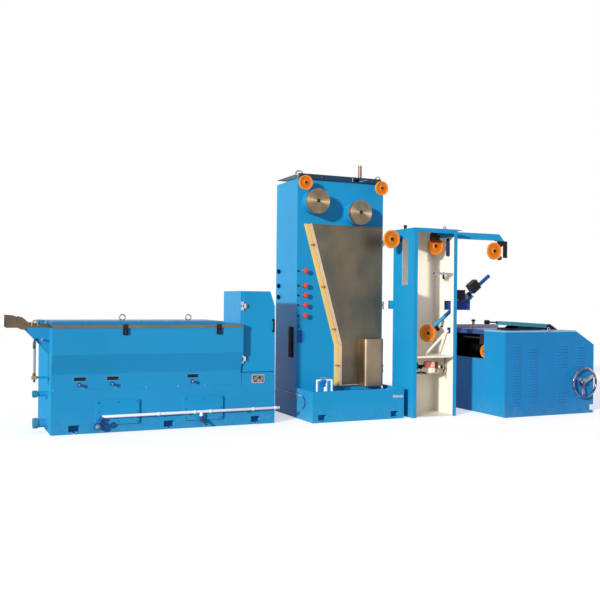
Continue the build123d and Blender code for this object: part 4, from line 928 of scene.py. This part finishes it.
# %% Knobs of the tub and buttons of the tower
STEM = ((0, 40), (13, 40), (15, 34), (15, 6), (25, 4), (26, -1), (0, -1))
BUTTON = ((0, 62), (10, 61), (18, 56), (21, 49), (19, 42), (12, 38), (0, 38))
COLLAR = ((0, 14), (32, 14), (36, 8), (36, -1), (0, -1))
MUSHROOM = ((0, 76), (18, 74.5), (32, 67), (36, 58), (32, 50), (22, 46), (22, 12), (0, 12))
STUD = ((0, 16), (8, 15), (11, 10), (11, 4), (14, 3), (14, -1), (0, -1))
tower_left, tower_front, _ = cad_box("tower_casing")[0]
knobs = Collector()
for x in KNOB_X:
    knobs.spun("navy_paint", STEM, (x, tub_front, 576), FRONT)
    knobs.spun("knob_blue", BUTTON, (x, tub_front, 576), FRONT)
    # A small pale disc on each button's front is a painted highlight.
    knobs.pin("side_pipe", (x - 8, tub_front - 58, 581), FRONT * 6, 9.5, 20, 2)
for z in (1988, 1790, 1660, 1525, 1383):
    knobs.spun("seal_lip", COLLAR, (-170, tower_front, z), FRONT)
    knobs.spun("red_paint", MUSHROOM, (-170, tower_front, z), FRONT)
    knobs.spun("black_plastic", STUD, (-262, tower_front, z - 2), FRONT, 20)
knobs.finish("turned_knobs", "frame", "black_paint", stands_for=("control_knobs",))

# %% [markdown]
# ## Covers and latches
#
# The inspection covers are held by a bolt at each corner and one in the middle of each side. The
# latches hold the tub's lids against the rim. A bolt is a washer and a hexagon, nothing more, so
# dozens of them stay light.

# %% Bolts of the inspection covers and hopper
COVER_LEFTS = (-3003, -1948)
BOLT_STEP_X = 227
BOLT_STEP_Z = 117
covers_front = cad_box("inspection_covers")[0].y
bolts = Collector()
for cover_left in COVER_LEFTS:
    for row in range(3):
        for column in range(3):
            if row != 1 or column != 1:
                spot = (cover_left + 28 + BOLT_STEP_X * column, covers_front, 126 + BOLT_STEP_Z * row)
                bolts.bolt("bay_blue", spot, FRONT, 9, 6)
hopper_bolt = Vector((-3588, -72.5, 1100))
bolts.rod("navy_paint", hopper_bolt - FRONT, hopper_bolt + FRONT * 40, 11, 6, 2)
bolts.rod("side_pipe", hopper_bolt - FRONT, hopper_bolt + FRONT * 8, 20, 24, 2)
bolts.finish("cover_bolts", "frame", "steel")

# %% Latches on the tub
latches = Collector()
for x in (-2680, -1519):
    latches.block("latch_brown", (x - 30, -359, 1228), (x + 30, -340, 1286), 3)
    latches.block("black_plastic", (x - 31, -357, 1160), (x + 29, -330, 1232), 4)
    latches.rod("black_plastic", (x - 33, -351.5, 1230), (x + 33, -351.5, 1230), 5.5, 16)
    latches.block("switch_navy", (x - 13, -361, 1172), (x + 11, -356, 1216))
latches.finish("tub_toggle_latches", "frame", "chrome", stands_for=("tub_latches",))

# %% [markdown]
# ## Pipes, valves and the level tube
#
# Coolant runs in a white pipe along the foot of the bed, with a round valve at its left end and a
# lever valve under its tee. At the end wall, two short stubs carry hoses away and a grey tube
# shows the coolant level. The stubs are spun with an open bore, so their ends look hollow.

# %% Stubs and the level tube at the end wall
TUBE_X, TUBE_Y = -3686, -102.5
wall_x = cad_box("drawing_bed")[0].x
ends = Collector()
for z, bore, reach in ((455, 32, 176), (110, 52, 168)):
    root = Vector((wall_x, 51.5, z))
    stub = ((bore + 10, -1), (bore + 10, 10), (bore, 14), (bore, reach - 22), (bore + 8, reach - 18),
            (bore + 8, reach - 1), (bore + 6, reach), (bore - 8, reach), (bore - 8, -1))
    ends.spun("blue_paint", stub, root, LEFT, 40)
    ends.pin("black_plastic", root, LEFT * (reach - 30), bore - 6, 32)
    cuff = ((bore - 1, reach - 60), (bore + 9.5, reach - 58), (bore + 9.5, reach - 4),
            (bore + 7, reach - 1), (bore - 1, reach - 1))
    ends.spun("teal_paint", cuff, root, LEFT, 40)
ends.rod("gauge_grey", (TUBE_X, TUBE_Y, 700), (TUBE_X, TUBE_Y, 1030), 15)
for z, reach in ((1020, 60), (700, 18)):
    nut = ((0, -20), (16, -20), (18, -16), (18, reach - 6), (14, reach), (0, reach))
    ends.spun("fitting_grey", nut, (TUBE_X, TUBE_Y, z), UP, 24)
ends.pipe("fitting_grey", [(TUBE_X, TUBE_Y, 1070), (TUBE_X, TUBE_Y, 1094), (-3680, -90, 1104),
                           (-3640, -60, 1108)], 12)
ends.rod("fitting_grey", (-3673, -92, 690), (-3673, -92, 1060), 5.5, 12)
ends.pipe("blue_paint", [(TUBE_X, TUBE_Y, 700), (TUBE_X, TUBE_Y, 672), (-3674, TUBE_Y, 663),
                         (-3512, TUBE_Y, 663)], 13)
ends.block("brass", (-3716, -123, 642), (-3656, -82, 686), 6)
ends.rod("navy_paint", (-3684, TUBE_Y, 650), (-3684, TUBE_Y, 608), 14, 6, 2)
ends.finish("stubs_and_level_tube", "frame", "navy_paint", stands_for=("end_pipes",))

# %% The coolant pipe with its couplings and valves
RUN_Y = -300.5
run_start = Vector((-2936, RUN_Y, 197.5))
run_end = Vector((-680.5, RUN_Y, 204.5))
fittings = Collector()
fittings.rod("white_pipe", run_start, run_end, 17.5, 32, 3)
for share in (0.30, 0.50, 0.59, 0.84, 0.975):
    spot = run_start.lerp(run_end, share)
    fittings.rod("white_pipe", spot + LEFT * 16, spot - LEFT * 16, 21.5, 32, 2)
fittings.rod("white_pipe", (-1725, RUN_Y, 150), (-1725, RUN_Y, 205), 18.5, 32)
fittings.rod("white_pipe", (-1725, RUN_Y, 148), (-1725, RUN_Y, 172), 24, 32, 3)
for x in (-2550, -1900, -1150):
    fittings.block("bolt_steel", (x - 12, -305, 172), (x + 12, tub_front + 1, 186))
fittings.finish("coolant_run", "frame", "white_pipe", stands_for=("coolant_pipe",))
valves = Collector()
valves.rod("teal_paint", (-2996, -335, 88), (-2996, -300, 88), 40, 40, 5)
valves.ring("navy_paint", (-2996, -330, 88), FRONT, 37, 8.5)
valves.rod("side_pipe", (-2996, -338, 88), (-2996, -333, 88), 18, 6, 2)
valves.rod("navy_paint", (-2996, RUN_Y, 88), (-2996, -250, 88), 30, 32)
valves.rod("navy_paint", (-2985, RUN_Y, 100), (-2930, RUN_Y, 190), 26, 24, 5)
valves.rod("navy_paint", (-2968, RUN_Y, 150), (-2915, RUN_Y, 100), 20, 20, 5)
valves.pipe("navy_paint", [(-2930, RUN_Y, 110), (-2890, RUN_Y, 70), (-2840, RUN_Y, 104),
                           (-2800, -280, 118)], 12)
valves.rod("navy_paint", (-1725, RUN_Y, 92), (-1725, RUN_Y, 150), 20, 32, 3)
valves.rod("navy_paint", (-1725, -332, 92), (-1725, -300, 92), 21, 32, 3)
valves.plate("black_plastic", [(-1748, -337, 92), (-1722, -337, 104), (-1652, -337, 36), (-1664, -337, 26)],
             BACK * 6, 1.5)
valves.rod("bolt_steel", (-1728, -340, 90), (-1728, -330, 90), 7, 6)
valves.finish("coolant_valve_set", "frame", "blue_paint", stands_for=("coolant_valves",))

# %% [markdown]
# ## The end housing's door
#
# The door hangs on two bright hinges and is pulled by a bow handle. Each hinge shows a narrow
# plate on the housing, a pin, and a wider leaf that rides on the door.

# %% Hinges, the bow handle and the housing's eye
knuckles = Collector()
leaves = Collector()
for z in (840.1, 1510.4):
    knuckles.block("chrome", (-1192, -262, z - 30), (-1181, -248.5, z + 30))
    knuckles.rod("bolt_steel", (-1175, -259.5, z - 36), (-1175, -259.5, z + 36), 8.5, 24, 1.5)
    leaves.block("chrome", (-1166, -262, z - 30), (-1134, -248.5, z + 30))
    leaves.block("fitting_grey", (-1133, -260, z - 28), (-1106, -248.5, z + 28))
knuckles.finish("door_hinge_knuckles", "frame", "chrome")
leaves.finish("door_hinge_leaves", "end_door", "chrome")
low, high = cad_box("door_handle")
grip_x = (low.x + high.x) / 2.0
grip_y = low.y + 8
foot_low, foot_high = low.z + 12, high.z - 12
handle = Collector()
handle.pipe("vent_dark", [(grip_x, high.y, foot_low), (grip_x, grip_y, foot_low),
                          (grip_x, grip_y, low.z + 45), (grip_x, grip_y, high.z - 45),
                          (grip_x, grip_y, foot_high), (grip_x, high.y, foot_high)], 12.5)
for z in (foot_low, foot_high):
    handle.pin("vent_dark", (grip_x, high.y, z), FRONT * 8, 15, 24, 2)
handle.finish("bow_handle", "end_door", "chrome", stands_for=("door_handle",))
housing_eye = Collector()
lifting_eye(housing_eye, (-764, -60, 1602), FRONT, 18, 5, "bolt_steel")
housing_eye.finish("housing_lifting_eye", "frame", "steel")

# %% [markdown]
# ## The tower's small parts
#
# The tower is lifted by two eye bolts whose rings stand across its roof. On its front and left
# side sit small buttons, on the left side also a vent with slats and a thin pipe along the base.
# The furnace door closes on a yellow seal, and a bright lip of folded sheet follows that seal.

# %% Eyes, side knobs, vent and pipe of the tower
SIDE_KNOB = ((0, 34), (22, 33), (32, 29), (35, 22), (31, 15), (18, 11), (14, 5), (26, 4), (26, -1), (0, -1))
tower_bits = Collector()
lifting_eye(tower_bits, (-251, 120, 3254), (-0.44, -1.0, 0.85), 42, 11)
lifting_eye(tower_bits, (1006, 181, 3284), (-0.55, -1.0, 0.6), 30, 9)
for z in (1996, 1789, 1633):
    tower_bits.spun("vent_dark", SIDE_KNOB, (tower_left, 690, z), LEFT)
tower_bits.block("vent_dark", (-288, 183, 806), (-281, 343, 1226), 3)
for z in range(830, 1199, 23):
    tower_bits.block("vent_dark", (-291, 193, z), (-284, 333, z + 9), 2, 1)
tower_bits.pipe("side_pipe", [(-291, 748, 333), (-291, 400, 328), (-291, -50, 323), (-291, -150, 318)], 8)
tower_bits.pipe("navy_paint", [(-291, -150, 318), (-293, -215, 300), (-293, -240, 240), (-293, -215, 180),
                               (-293, -150, 150)], 6.5)
for y in (650, 300, 0):
    tower_bits.block("bolt_steel", (-301, y - 10, 315), (-281, y + 10, 341), 3)
tower_bits.block("deep_blue", (-270, 82.5, 1014), (-198, 87, 1184), 1.5)
for z in (1247, 1224):
    tower_bits.pin("black_plastic", (-250, 86.5, z), FRONT * 10, 9, 16, 2)
tower_bits.finish("tower_fittings", "frame", "black_paint")

# %% The cap of thin sheet
CAP_OVERHANG = 40
SHEET = 8
low, high = cad_box("tower_cap")
cap_left, cap_front = low.x - CAP_OVERHANG, low.y
sheet_z = high.z - SHEET
cap = Collector()
cap.block("cap_paint", (cap_left, cap_front, sheet_z), high, 1, 1)
cap.block("cap_paint", (cap_left, cap_front, low.z), (high.x, cap_front + 4, sheet_z), 1, 1)
cap.block("cap_paint", (high.x - 4, cap_front, low.z), (high.x, high.y, sheet_z), 1, 1)
cap.plate("cap_side", [(cap_left, cap_front, low.z), (cap_left, high.y, sheet_z - 4),
                       (cap_left, high.y, sheet_z), (cap_left, cap_front, sheet_z)], (4, 0, 0), 0.8)
cap.block("cap_paint", (low.x + 160, low.y + 120, low.z), (high.x - 120, high.y - 120, sheet_z), 2, 1)
cap.finish("cap_of_thin_sheet", "frame", "black_paint", stands_for=("tower_cap",))

# %% Things under the cap and on the base
trim = Collector()
trim.block("side_pipe", (536, 55, 3244), (545, 62, 3296))
trim.block("vent_dark", (566, 55, 3250), (640, 62, 3286), 3)
trim.plate("side_pipe", [(650, 58, 3252), (770, 58, 3278), (770, 58, 3286), (650, 58, 3262)], BACK * 4)
trim.block("fitting_grey", (676, 56, 3240), (700, 62, 3256))
for x in (60, 850, 930):
    trim.pin("bolt_steel", (x, cap_front, 3275), FRONT * 5, 10, 6)
trim.plate("seal_lip", [(915, -462.5, 288), (1072, -462.5, 284), (1072, -462.5, 312), (915, -462.5, 320)],
           BACK * 2, 0.5)
trim.finish("cap_and_base_trim", "frame", "steel")

# %% The lip along the seal and the door's furniture
DOOR_FRONT = 38
LIP_WIDTH = 46
LIP_SHIFT = 14
SEAL_PATH = ((-119, 2630), (356, 976), (356, 420))
trim = Collector()
for (x0, z0), (x1, z1) in zip(SEAL_PATH, SEAL_PATH[1:]):
    across = Vector((z0 - z1, 0.0, x1 - x0)).normalized()
    start = Vector((x0, DOOR_FRONT, z0)) - across * LIP_SHIFT
    end = Vector((x1, DOOR_FRONT, z1)) - across * LIP_SHIFT
    over = across * LIP_WIDTH
    trim.plate("lip_steel", [start, end, end + over, start + over], FRONT * 7, 2)
trim.block("lip_steel", (356, 31, 416), (1010, 39, 428))
trim.block("stainless", (-117, 33, 2616), (1010, 39, 2629))
trim.block("bolt_steel", (1000, 32, 420), (1009, 39, 2628))
for z in (2423, 2339, 1858, 1450, 700):
    trim.block("bolt_steel", (976, 31, z - 18), (998, 39, z + 18), 3)
hole = Vector((790, cad_box("annealer_door")[0].y, 747))
# The black disc inside the hole is painted shade that makes the hole look dark.
trim.rod("black_plastic", hole + BACK * 4, hole + BACK * 0.5, 12)
trim.ring("bolt_steel", hole + BACK * 2, BACK, 14, 2.5)
trim.block("stainless", (648, 30, 1060), (952, 40, 1072), 3)
trim.block("stainless", (640, 30, 418), (651, 40, 1066), 3)
trim.finish("furnace_door_trim", "furnace_door", "stainless")

# %% Clamps that hold the lip down
GRIP = ((0, 36), (10, 35), (15, 30), (16, 14), (12, 6), (0, 2))
(top_x, top_z), (bend_x, bend_z), _ = SEAL_PATH
clamps = Collector()
for z in (2346, 1776, 1197, 698):
    x = top_x + (bend_x - top_x) * (top_z - max(z, bend_z)) / (top_z - bend_z)
    stud = Vector((x - 48, 0.0, z))
    clamps.rod("brown_steel", stud + BACK * 72, stud + FRONT * 12, 6, 16)
    clamps.block("seal_lip", stud + Vector((-12, 12, -10)), stud + Vector((40, 30, 10)), 3)
    clamps.spun("clamp_red", GRIP, stud + FRONT * 6, FRONT, 24)
clamps.finish("seal_clamps", "frame", "red_grip", stands_for=("door_clamps",))

# %% Valve of the water line
WATER_Y = -163.5
water = Collector()
water.rod("valve_blue", (-34, WATER_Y, 500), (40, WATER_Y, 500), 32, 32, 5)
water.block("valve_blue", (-22, -192, 436), (30, -140, 490), 6)
water.rod("bolt_steel", (0, WATER_Y, 522), (0, WATER_Y, 548), 8, 16)
water.block("seal_lip", (-52, -172, 546), (58, -155, 556), 3)
water.rod("brown_steel", (-86, WATER_Y, 526), (-40, WATER_Y, 526), 6, 12)
water.rod("brown_steel", (60, WATER_Y, 526), (120, WATER_Y, 526), 6, 12)
for x in (-82, 138):
    water.rod("white_pipe", (x, WATER_Y, 352), (x, WATER_Y, 366), 38, 32, 3)
water.finish("water_valve", "frame", "white_pipe")

# %% [markdown]
# ## The dancer frame's small parts
#
# Inside the dancer, a ledge with a stop pin catches the arm, a dark switch bar hangs on the right
# wall, and a flat brace leans from the shelf to the wall. Below the shelf sits the air set: a red
# round gauge, a pale bowl, dark and tan fittings and a loose brown hose up the corner.

# %% Ledge, switch bar, brace and blocks
inside = Collector()
LEDGE_Z = 1990
ledge = [(1556, -438, LEDGE_Z), (1888, -438, LEDGE_Z), (1888, -340, LEDGE_Z), (1640, -340, LEDGE_Z)]
inside.plate("cream_paint", ledge, UP * 6, 1.5)
inside.block("gauge_grey", (1556, -438, 1964), (1888, -432, 1996), 1.5, 1)
inside.rod("black_plastic", (1749, -400, 1906), (1749, -400, 1990), 16, 24, 3)
inside.rod("gauge_grey", (1749, -400, 1990), (1749, -400, 2008), 12, 6)
inside.rod("black_plastic", (1566, -439, 1980), (1566, -431, 1980), 12, 16)
inside.block("switch_navy", (1846, -352, 2236), (1888, -306, 2440), 5)
inside.block("black_plastic", (1856, -346, 2436), (1888, -306, 2484), 5)
# The dark and the brown plate across the top sheave's upper part are its painted shadow.
inside.block("shadow_band_dark", (1576, -312, 2450), (1744, -304, 2532), 4)
inside.block("brown_and_shadow_band", (1592, -312, 2424), (1778, -304, 2449))
inside.block("fitting_dark", (1880, -200, 1226), (1889.5, -140, 1243), 2, 1)
inside.plate("seal_lip", [(1742, -20, 2300), (1840, -20, 2290), (1800, -20, 2180), (1752, -20, 2170)],
             BACK * 40, 3)
inside.plate("cream_paint", [(1503, -336, 869), (1542, -336, 859), (1868, -336, 1157), (1850, -336, 1187)],
             BACK * 8, 2)
inside.block("cream_paint", (1490, -340, 839), (1536, -322, 867), 3)
inside.block("cream_paint", (1856, -340, 1160), (1889, -322, 1186), 3)
for x, z in ((1250, 1800), (1500, 1200)):
    inside.rod("bolt_steel", (x, 24, z), (x, 16, z), 8, 12)
inside.finish("dancer_inside_parts", "frame", "cream_paint")

# %% The air set below the shelf
DIAL = ((0, 30), (44, 30), (48, 25), (48, 0), (38, -6), (0, -6))
air = Collector()
air.spun("dial_red", DIAL, (1522, -330, 716), FRONT, 36)
air.rod("dial_red", (1530, -330, 720), (1600, -330, 728), 30, 24, 6)
air.block("blush_plastic", (1586, -358, 668), (1656, -312, 750), 12, 3)
air.block("cream_paint", (1560, -366, 588), (1656, -306, 664), 12, 3)
air.block("brown_and_shadow_band", (1662, -360, 650), (1706, -316, 746), 8)
air.rod("tan_rubber", (1700, -340, 620), (1780, -340, 600), 28, 20, 6)
air.block("tan_rubber", (1650, -352, 576), (1756, -318, 610), 8)
air.rod("white_pipe", (1706, -338, 672), (1766, -338, 672), 18, 24, 3)
air.rod("black_plastic", (1762, -362, 672), (1762, -318, 672), 20, 24, 3)
air.pipe("brown_hose", [(1786, -338, 606), (1826, -334, 604), (1838, -332, 660), (1838, -331, 836)], 9.5)
air.pipe("tan_rubber", [(1812, -334, 590), (1836, -334, 570), (1846, -334, 520), (1838, -331, 500)], 6.5)
air.finish("air_set", "frame", "brass")
regulator = Collector()
regulator.rod("vent_dark", (1431, -350, 676), (1431, -300, 676), 26, 28, 5)
regulator.rod("fitting_dark", (1380, -326, 690), (1500, -326, 690), 18)
regulator.block("switch_navy", (1356, -346, 640), (1384, -306, 740), 6)
regulator.pipe("fitting_dark", [(1356, -330, 596), (1400, -338, 606), (1460, -338, 606),
                                (1520, -330, 590)], 10)
regulator.pipe("tan_rubber", [(1356, -338, 586), (1420, -342, 584), (1480, -342, 584),
                              (1526, -336, 576)], 9)
regulator.rod("fitting_dark", (1431, -300, 676), (1431, 22, 676), 12, 16)
regulator.finish("air_regulator_set", "frame", "brass", stands_for=("air_regulator",))

# %% Top knob, overhang, brackets and face screws of the dancer
TOP_KNOB = ((0, 52), (20, 50), (24, 44), (24, 20), (20, 12), (16, 8), (20, 4), (20, -1), (0, -1))
tops = Collector()
tops.spun("fitting_dark", TOP_KNOB, (1197, -274, 2597), UP, 24)
tops.rod("gauge_grey", (1760, -400, 2596), (1760, -400, 2640), 22, 24, 4)
tops.rod("gauge_grey", (1760, -400, 2636), (1760, -400, 2654), 12, 16, 2)
tops.plate("blue_paint", [(1889, -521, 2591), (2060, -420, 2591), (2060, -410, 2591), (1889, -270, 2591)],
           UP * 5)
# The navy plate on the arm's root is the painted shadow of the overhang above it.
tops.plate("navy_paint", [(1892, -257, 2488), (1965, -257, 2496), (1965, -257, 2578), (1892, -257, 2586)],
           BACK * 3, 0.8)
tops.block("blue_paint", (1178, 27, 1478), (1193, 141, 1599), 3)
for z in (1505, 1572):
    tops.pin("bolt_steel", (1178, 110, z), LEFT * 6, 9, 6)
for x in (1215, 1870):
    for z in (50, 1300, 2560):
        tops.pin("bolt_steel", (x, -525.5, z), FRONT * 4, 8, 12, 1)
tops.block("black_plastic", (2766, -306, 2206), (2816, -282, 2236), 5)
tops.block("black_plastic", (2806, -300, 2214), (2836, -284, 2262), 4)
tops.finish("dancer_outside_parts", "frame", "blue_paint")

# %% Ribbed sleeve, damper and clamps on the dancer's lever
PIVOT = Vector((2099, -255.5, 1555))
LEVER_ANGLE = math.radians(37.9)
ALONG_LEVER = Vector((math.cos(LEVER_ANGLE), 0.0, math.sin(LEVER_ANGLE)))
BELOW_LEVER = Vector((math.sin(LEVER_ANGLE), 0.0, -math.cos(LEVER_ANGLE)))
DAMPER_BELOW = 50


def on_lever(along, below=0.0):
    """A point so far along the lever from its pivot, and so far below it."""
    return PIVOT + ALONG_LEVER * along + BELOW_LEVER * below


sleeve = Collector()
for rib in range(11):
    start = 62 + 11.8 * rib
    sleeve.rod("bolt_steel", on_lever(start), on_lever(start + 9.2), 46.2, 32, 1.8)
for rib in range(11):
    start = 50 + 17 * rib
    sleeve.rod("knob_blue", on_lever(start, DAMPER_BELOW), on_lever(start + 12.5, DAMPER_BELOW), 31, 28, 2)
sleeve.rod("black_plastic", on_lever(44, DAMPER_BELOW), on_lever(250, DAMPER_BELOW), 22, 24, 3)
sleeve.rod("blue_paint", on_lever(250, 57.5), on_lever(274, 57.5), 26, 6, 2)
sleeve.rod("blue_paint", on_lever(228), on_lever(228, 75), 12, 16)
for start in (-36, 30, 215, 236):
    sleeve.rod("black_plastic", on_lever(start), on_lever(start + 12), 33, 24, 2)
sleeve.rod("black_plastic", (1709, -288, 1236), (1754, -288, 1188), 28, 8, 4)
sleeve.finish("arm_sleeve_and_clamps", "dancer_arm", "navy_paint")

# %% [markdown]
# ## The take-up's front
#
# The front of the cabinet breathes through columns of louvres. A louvre is a small hood pressed
# out of the sheet: flush at its top, open below. One is shaped from a block by pulling its upper
# front edge back to the sheet, and it costs only a few faces, so sixty of them stay light.

# %% Press the louvres
LOUVRE_PITCH = 40.5
LOUVRE_HEIGHT = 22
LOUVRE_DEPTH = 8.5
LOUVRE_ROOT = 2
LOUVRE_ROUNDING = 4.5
LOUVRE_COLUMNS = ((106, 272, 167, 988), (383, 552, 196, 956), (900, 1088, 674, 991), (900, 1088, 173, 323),
                  (1249, 1403, 680, 972))
takeup_left, takeup_front, _ = cad_box("takeup_front")[0]


def louvre(x0, x1, z):
    """One pressed hood, open below."""
    sheet_y = takeup_front * MM
    middle_z = (z + LOUVRE_HEIGHT / 2.0) * MM
    shape = cuboid((x0, takeup_front - LOUVRE_DEPTH, z),
                   (x1, takeup_front + LOUVRE_ROOT, z + LOUVRE_HEIGHT))
    high_front = [v for v in shape.verts if v.co.z > middle_z and v.co.y < sheet_y]
    bmesh.ops.translate(shape, vec=BACK * (LOUVRE_DEPTH - 0.5) * MM, verts=high_front)
    front_edges = [e for e in shape.edges if all(v.co.y < sheet_y - 0.0001 for v in e.verts)]
    bevel(shape, front_edges, LOUVRE_ROUNDING, 2)
    return shape


louvres = Collector()
count = 0
for x0, x1, z0, z1 in LOUVRE_COLUMNS:
    rows = int((z1 - z0) / LOUVRE_PITCH)
    left_x, right_x = takeup_left + x0, takeup_left + x1
    for row in range(rows + 1):
        z = z0 + (z1 - z0 - LOUVRE_HEIGHT) * row / rows
        louvres.add("bay_blue", louvre(left_x, right_x, z))
        # The navy strip under each hood is painted shade in its open underside.
        louvres.block("navy_paint", (left_x + 6, takeup_front - 6.2, z - 1.2),
                      (right_x - 6, takeup_front + 1, z + 0.6), 0)
        count += 1
louvres.finish("pressed_louvres", "frame", "blue_paint")
print("louvres:", count)

# %% Latch rings, side knob, rail and screws
KNOB_STEM = ((0, 92), (17, 92), (19, 80), (19, 6), (26, 3), (26, -1), (0, -1))
KNOB_HEAD = ((0, 130), (20, 128), (29, 120), (31, 106), (26, 94), (0, 90))
deck_z = cad_box("takeup_deck")[1].z
bay = Collector()
bay.block("bolt_steel", (3136, -944, 1170), (3164, -940, 1193))
bay.ring("seal_lip", (3150, -948, 1212), (0.25, -1.0, 0.10), 27, 4)
bay.ring("bolt_steel", (3178, -948, 1200), (0.60, -1.0, -0.10), 14, 3)
bay.spun("brown_steel", KNOB_STEM, (2780, 300, 1195), UP, 24)
bay.spun("cap_paint", KNOB_HEAD, (2780, 300, 1195), UP, 24)
bay.block("pale_rail", (2446, 396, 1194), (3330, 420, 1246), 3)
for x in (2470, 2720, 3420, 3600):
    bay.rod("bolt_steel", (x, -900, deck_z - 1), (x, -900, deck_z + 4), 9, 16, 1)
for z in (300, 520, 760):
    bay.pin("bay_blue", (takeup_left + 800, takeup_front, z), FRONT * 3, 8, 16, 1)
bay.finish("bay_latch_and_knob", "frame", "chrome")

# %% Coaming round the spool bay, low at its left end, black as painted shade under the lid
COAMING_WALL = 24
COAMING_STEP = 2955
LOW_EDGE = 1216
LID_TILT = math.radians(3.2)
low, high = cad_box("bay_coaming")


def under_lid(x):
    """Height of the coaming's top just below the lid at x."""
    return high.z - (x - low.x) * math.tan(LID_TILT)


high_edge = under_lid(high.x)
outline = ((low.x, low.z), (high.x, low.z), (high.x, high_edge), (COAMING_STEP, under_lid(COAMING_STEP)),
           (COAMING_STEP - 50, LOW_EDGE), (low.x, LOW_EDGE))
# The coaming's black is painted shade: it stands for the dark gap under the lid.
coaming = Collector()
for y in (low.y, high.y - COAMING_WALL):
    coaming.plate("black_paint", [(x, y, z) for x, z in outline], BACK * COAMING_WALL, 1.5)
inner_front, inner_back = low.y + COAMING_WALL - 1, high.y - COAMING_WALL + 1
for left_x, top_z in ((low.x, LOW_EDGE), (high.x - COAMING_WALL, high_edge)):
    coaming.block("black_paint", (left_x, inner_front, low.z),
                  (left_x + COAMING_WALL, inner_back, top_z - 0.5), 1.5)
coaming.finish("stepped_coaming_painted_shade", "frame", "black_paint", stands_for=("bay_coaming",))

# %% Pull on the lid
pull = Collector()
pull.rod("black_plastic", (2600, -290, 1298), (2772, -290, 1294), 11, 20)
pull.rod("black_plastic", (2552, -290, 1299), (2622, -290, 1298), 31, 24, 6)
pull.rod("bolt_steel", (2762, -290, 1294), (2771, -290, 1294), 19, 20, 2)
pull.finish("lid_pull", "bay_lid", "black_paint")

# %% Handwheel
RIM_WIRE = 15.5
HUB_SET_BACK = 53
WHEEL_HUB = ((12, -26), (30, -26), (40, -18), (46, 0), (48, 16), (12, 16))
low, high = cad_box("handwheel")
rim_radius = (high.x - low.x) / 2.0 - RIM_WIRE
hub = (low + high) / 2.0
rim_centre = Vector((hub.x, low.y + RIM_WIRE + 1, hub.z))
hub.y = low.y + HUB_SET_BACK
turner = Collector()
turner.ring("wheel_chrome", rim_centre, BACK, rim_radius, RIM_WIRE, 72, 20)
turner.spun("wheel_chrome", WHEEL_HUB, hub, BACK, 48)
for angle in (30.0, 150.0, 270.0):
    way = Vector((math.cos(math.radians(angle)), 0.0, math.sin(math.radians(angle))))
    across = Vector((-way.z, 0.0, way.x))
    inner_end = hub + way * 30
    outer_end = rim_centre + way * (rim_radius - 2)
    spoke = [inner_end - across * 36, outer_end - across * 20, outer_end + across * 20,
             inner_end + across * 36]
    turner.plate("wheel_chrome", spoke, BACK * 12, 3)
turner.rod("bolt_steel", hub + BACK * 14, hub + FRONT * 25.5, 12.5)
turner.finish("turned_handwheel", "wheel", "chrome", stands_for=("handwheel",))

# %% [markdown]
# ## Last step: the size
#
# The visual model should stay inside the CAD model's box. How far it grows past that box on each side is
# printed.

# %% Print how far the model grew past the CAD box
look_low, look_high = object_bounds()
grown_low = [round(v, 4) for v in look_low - cad_low]
grown_high = [round(v, 4) for v in look_high - cad_high]
print("grown low", grown_low, "high", grown_high)
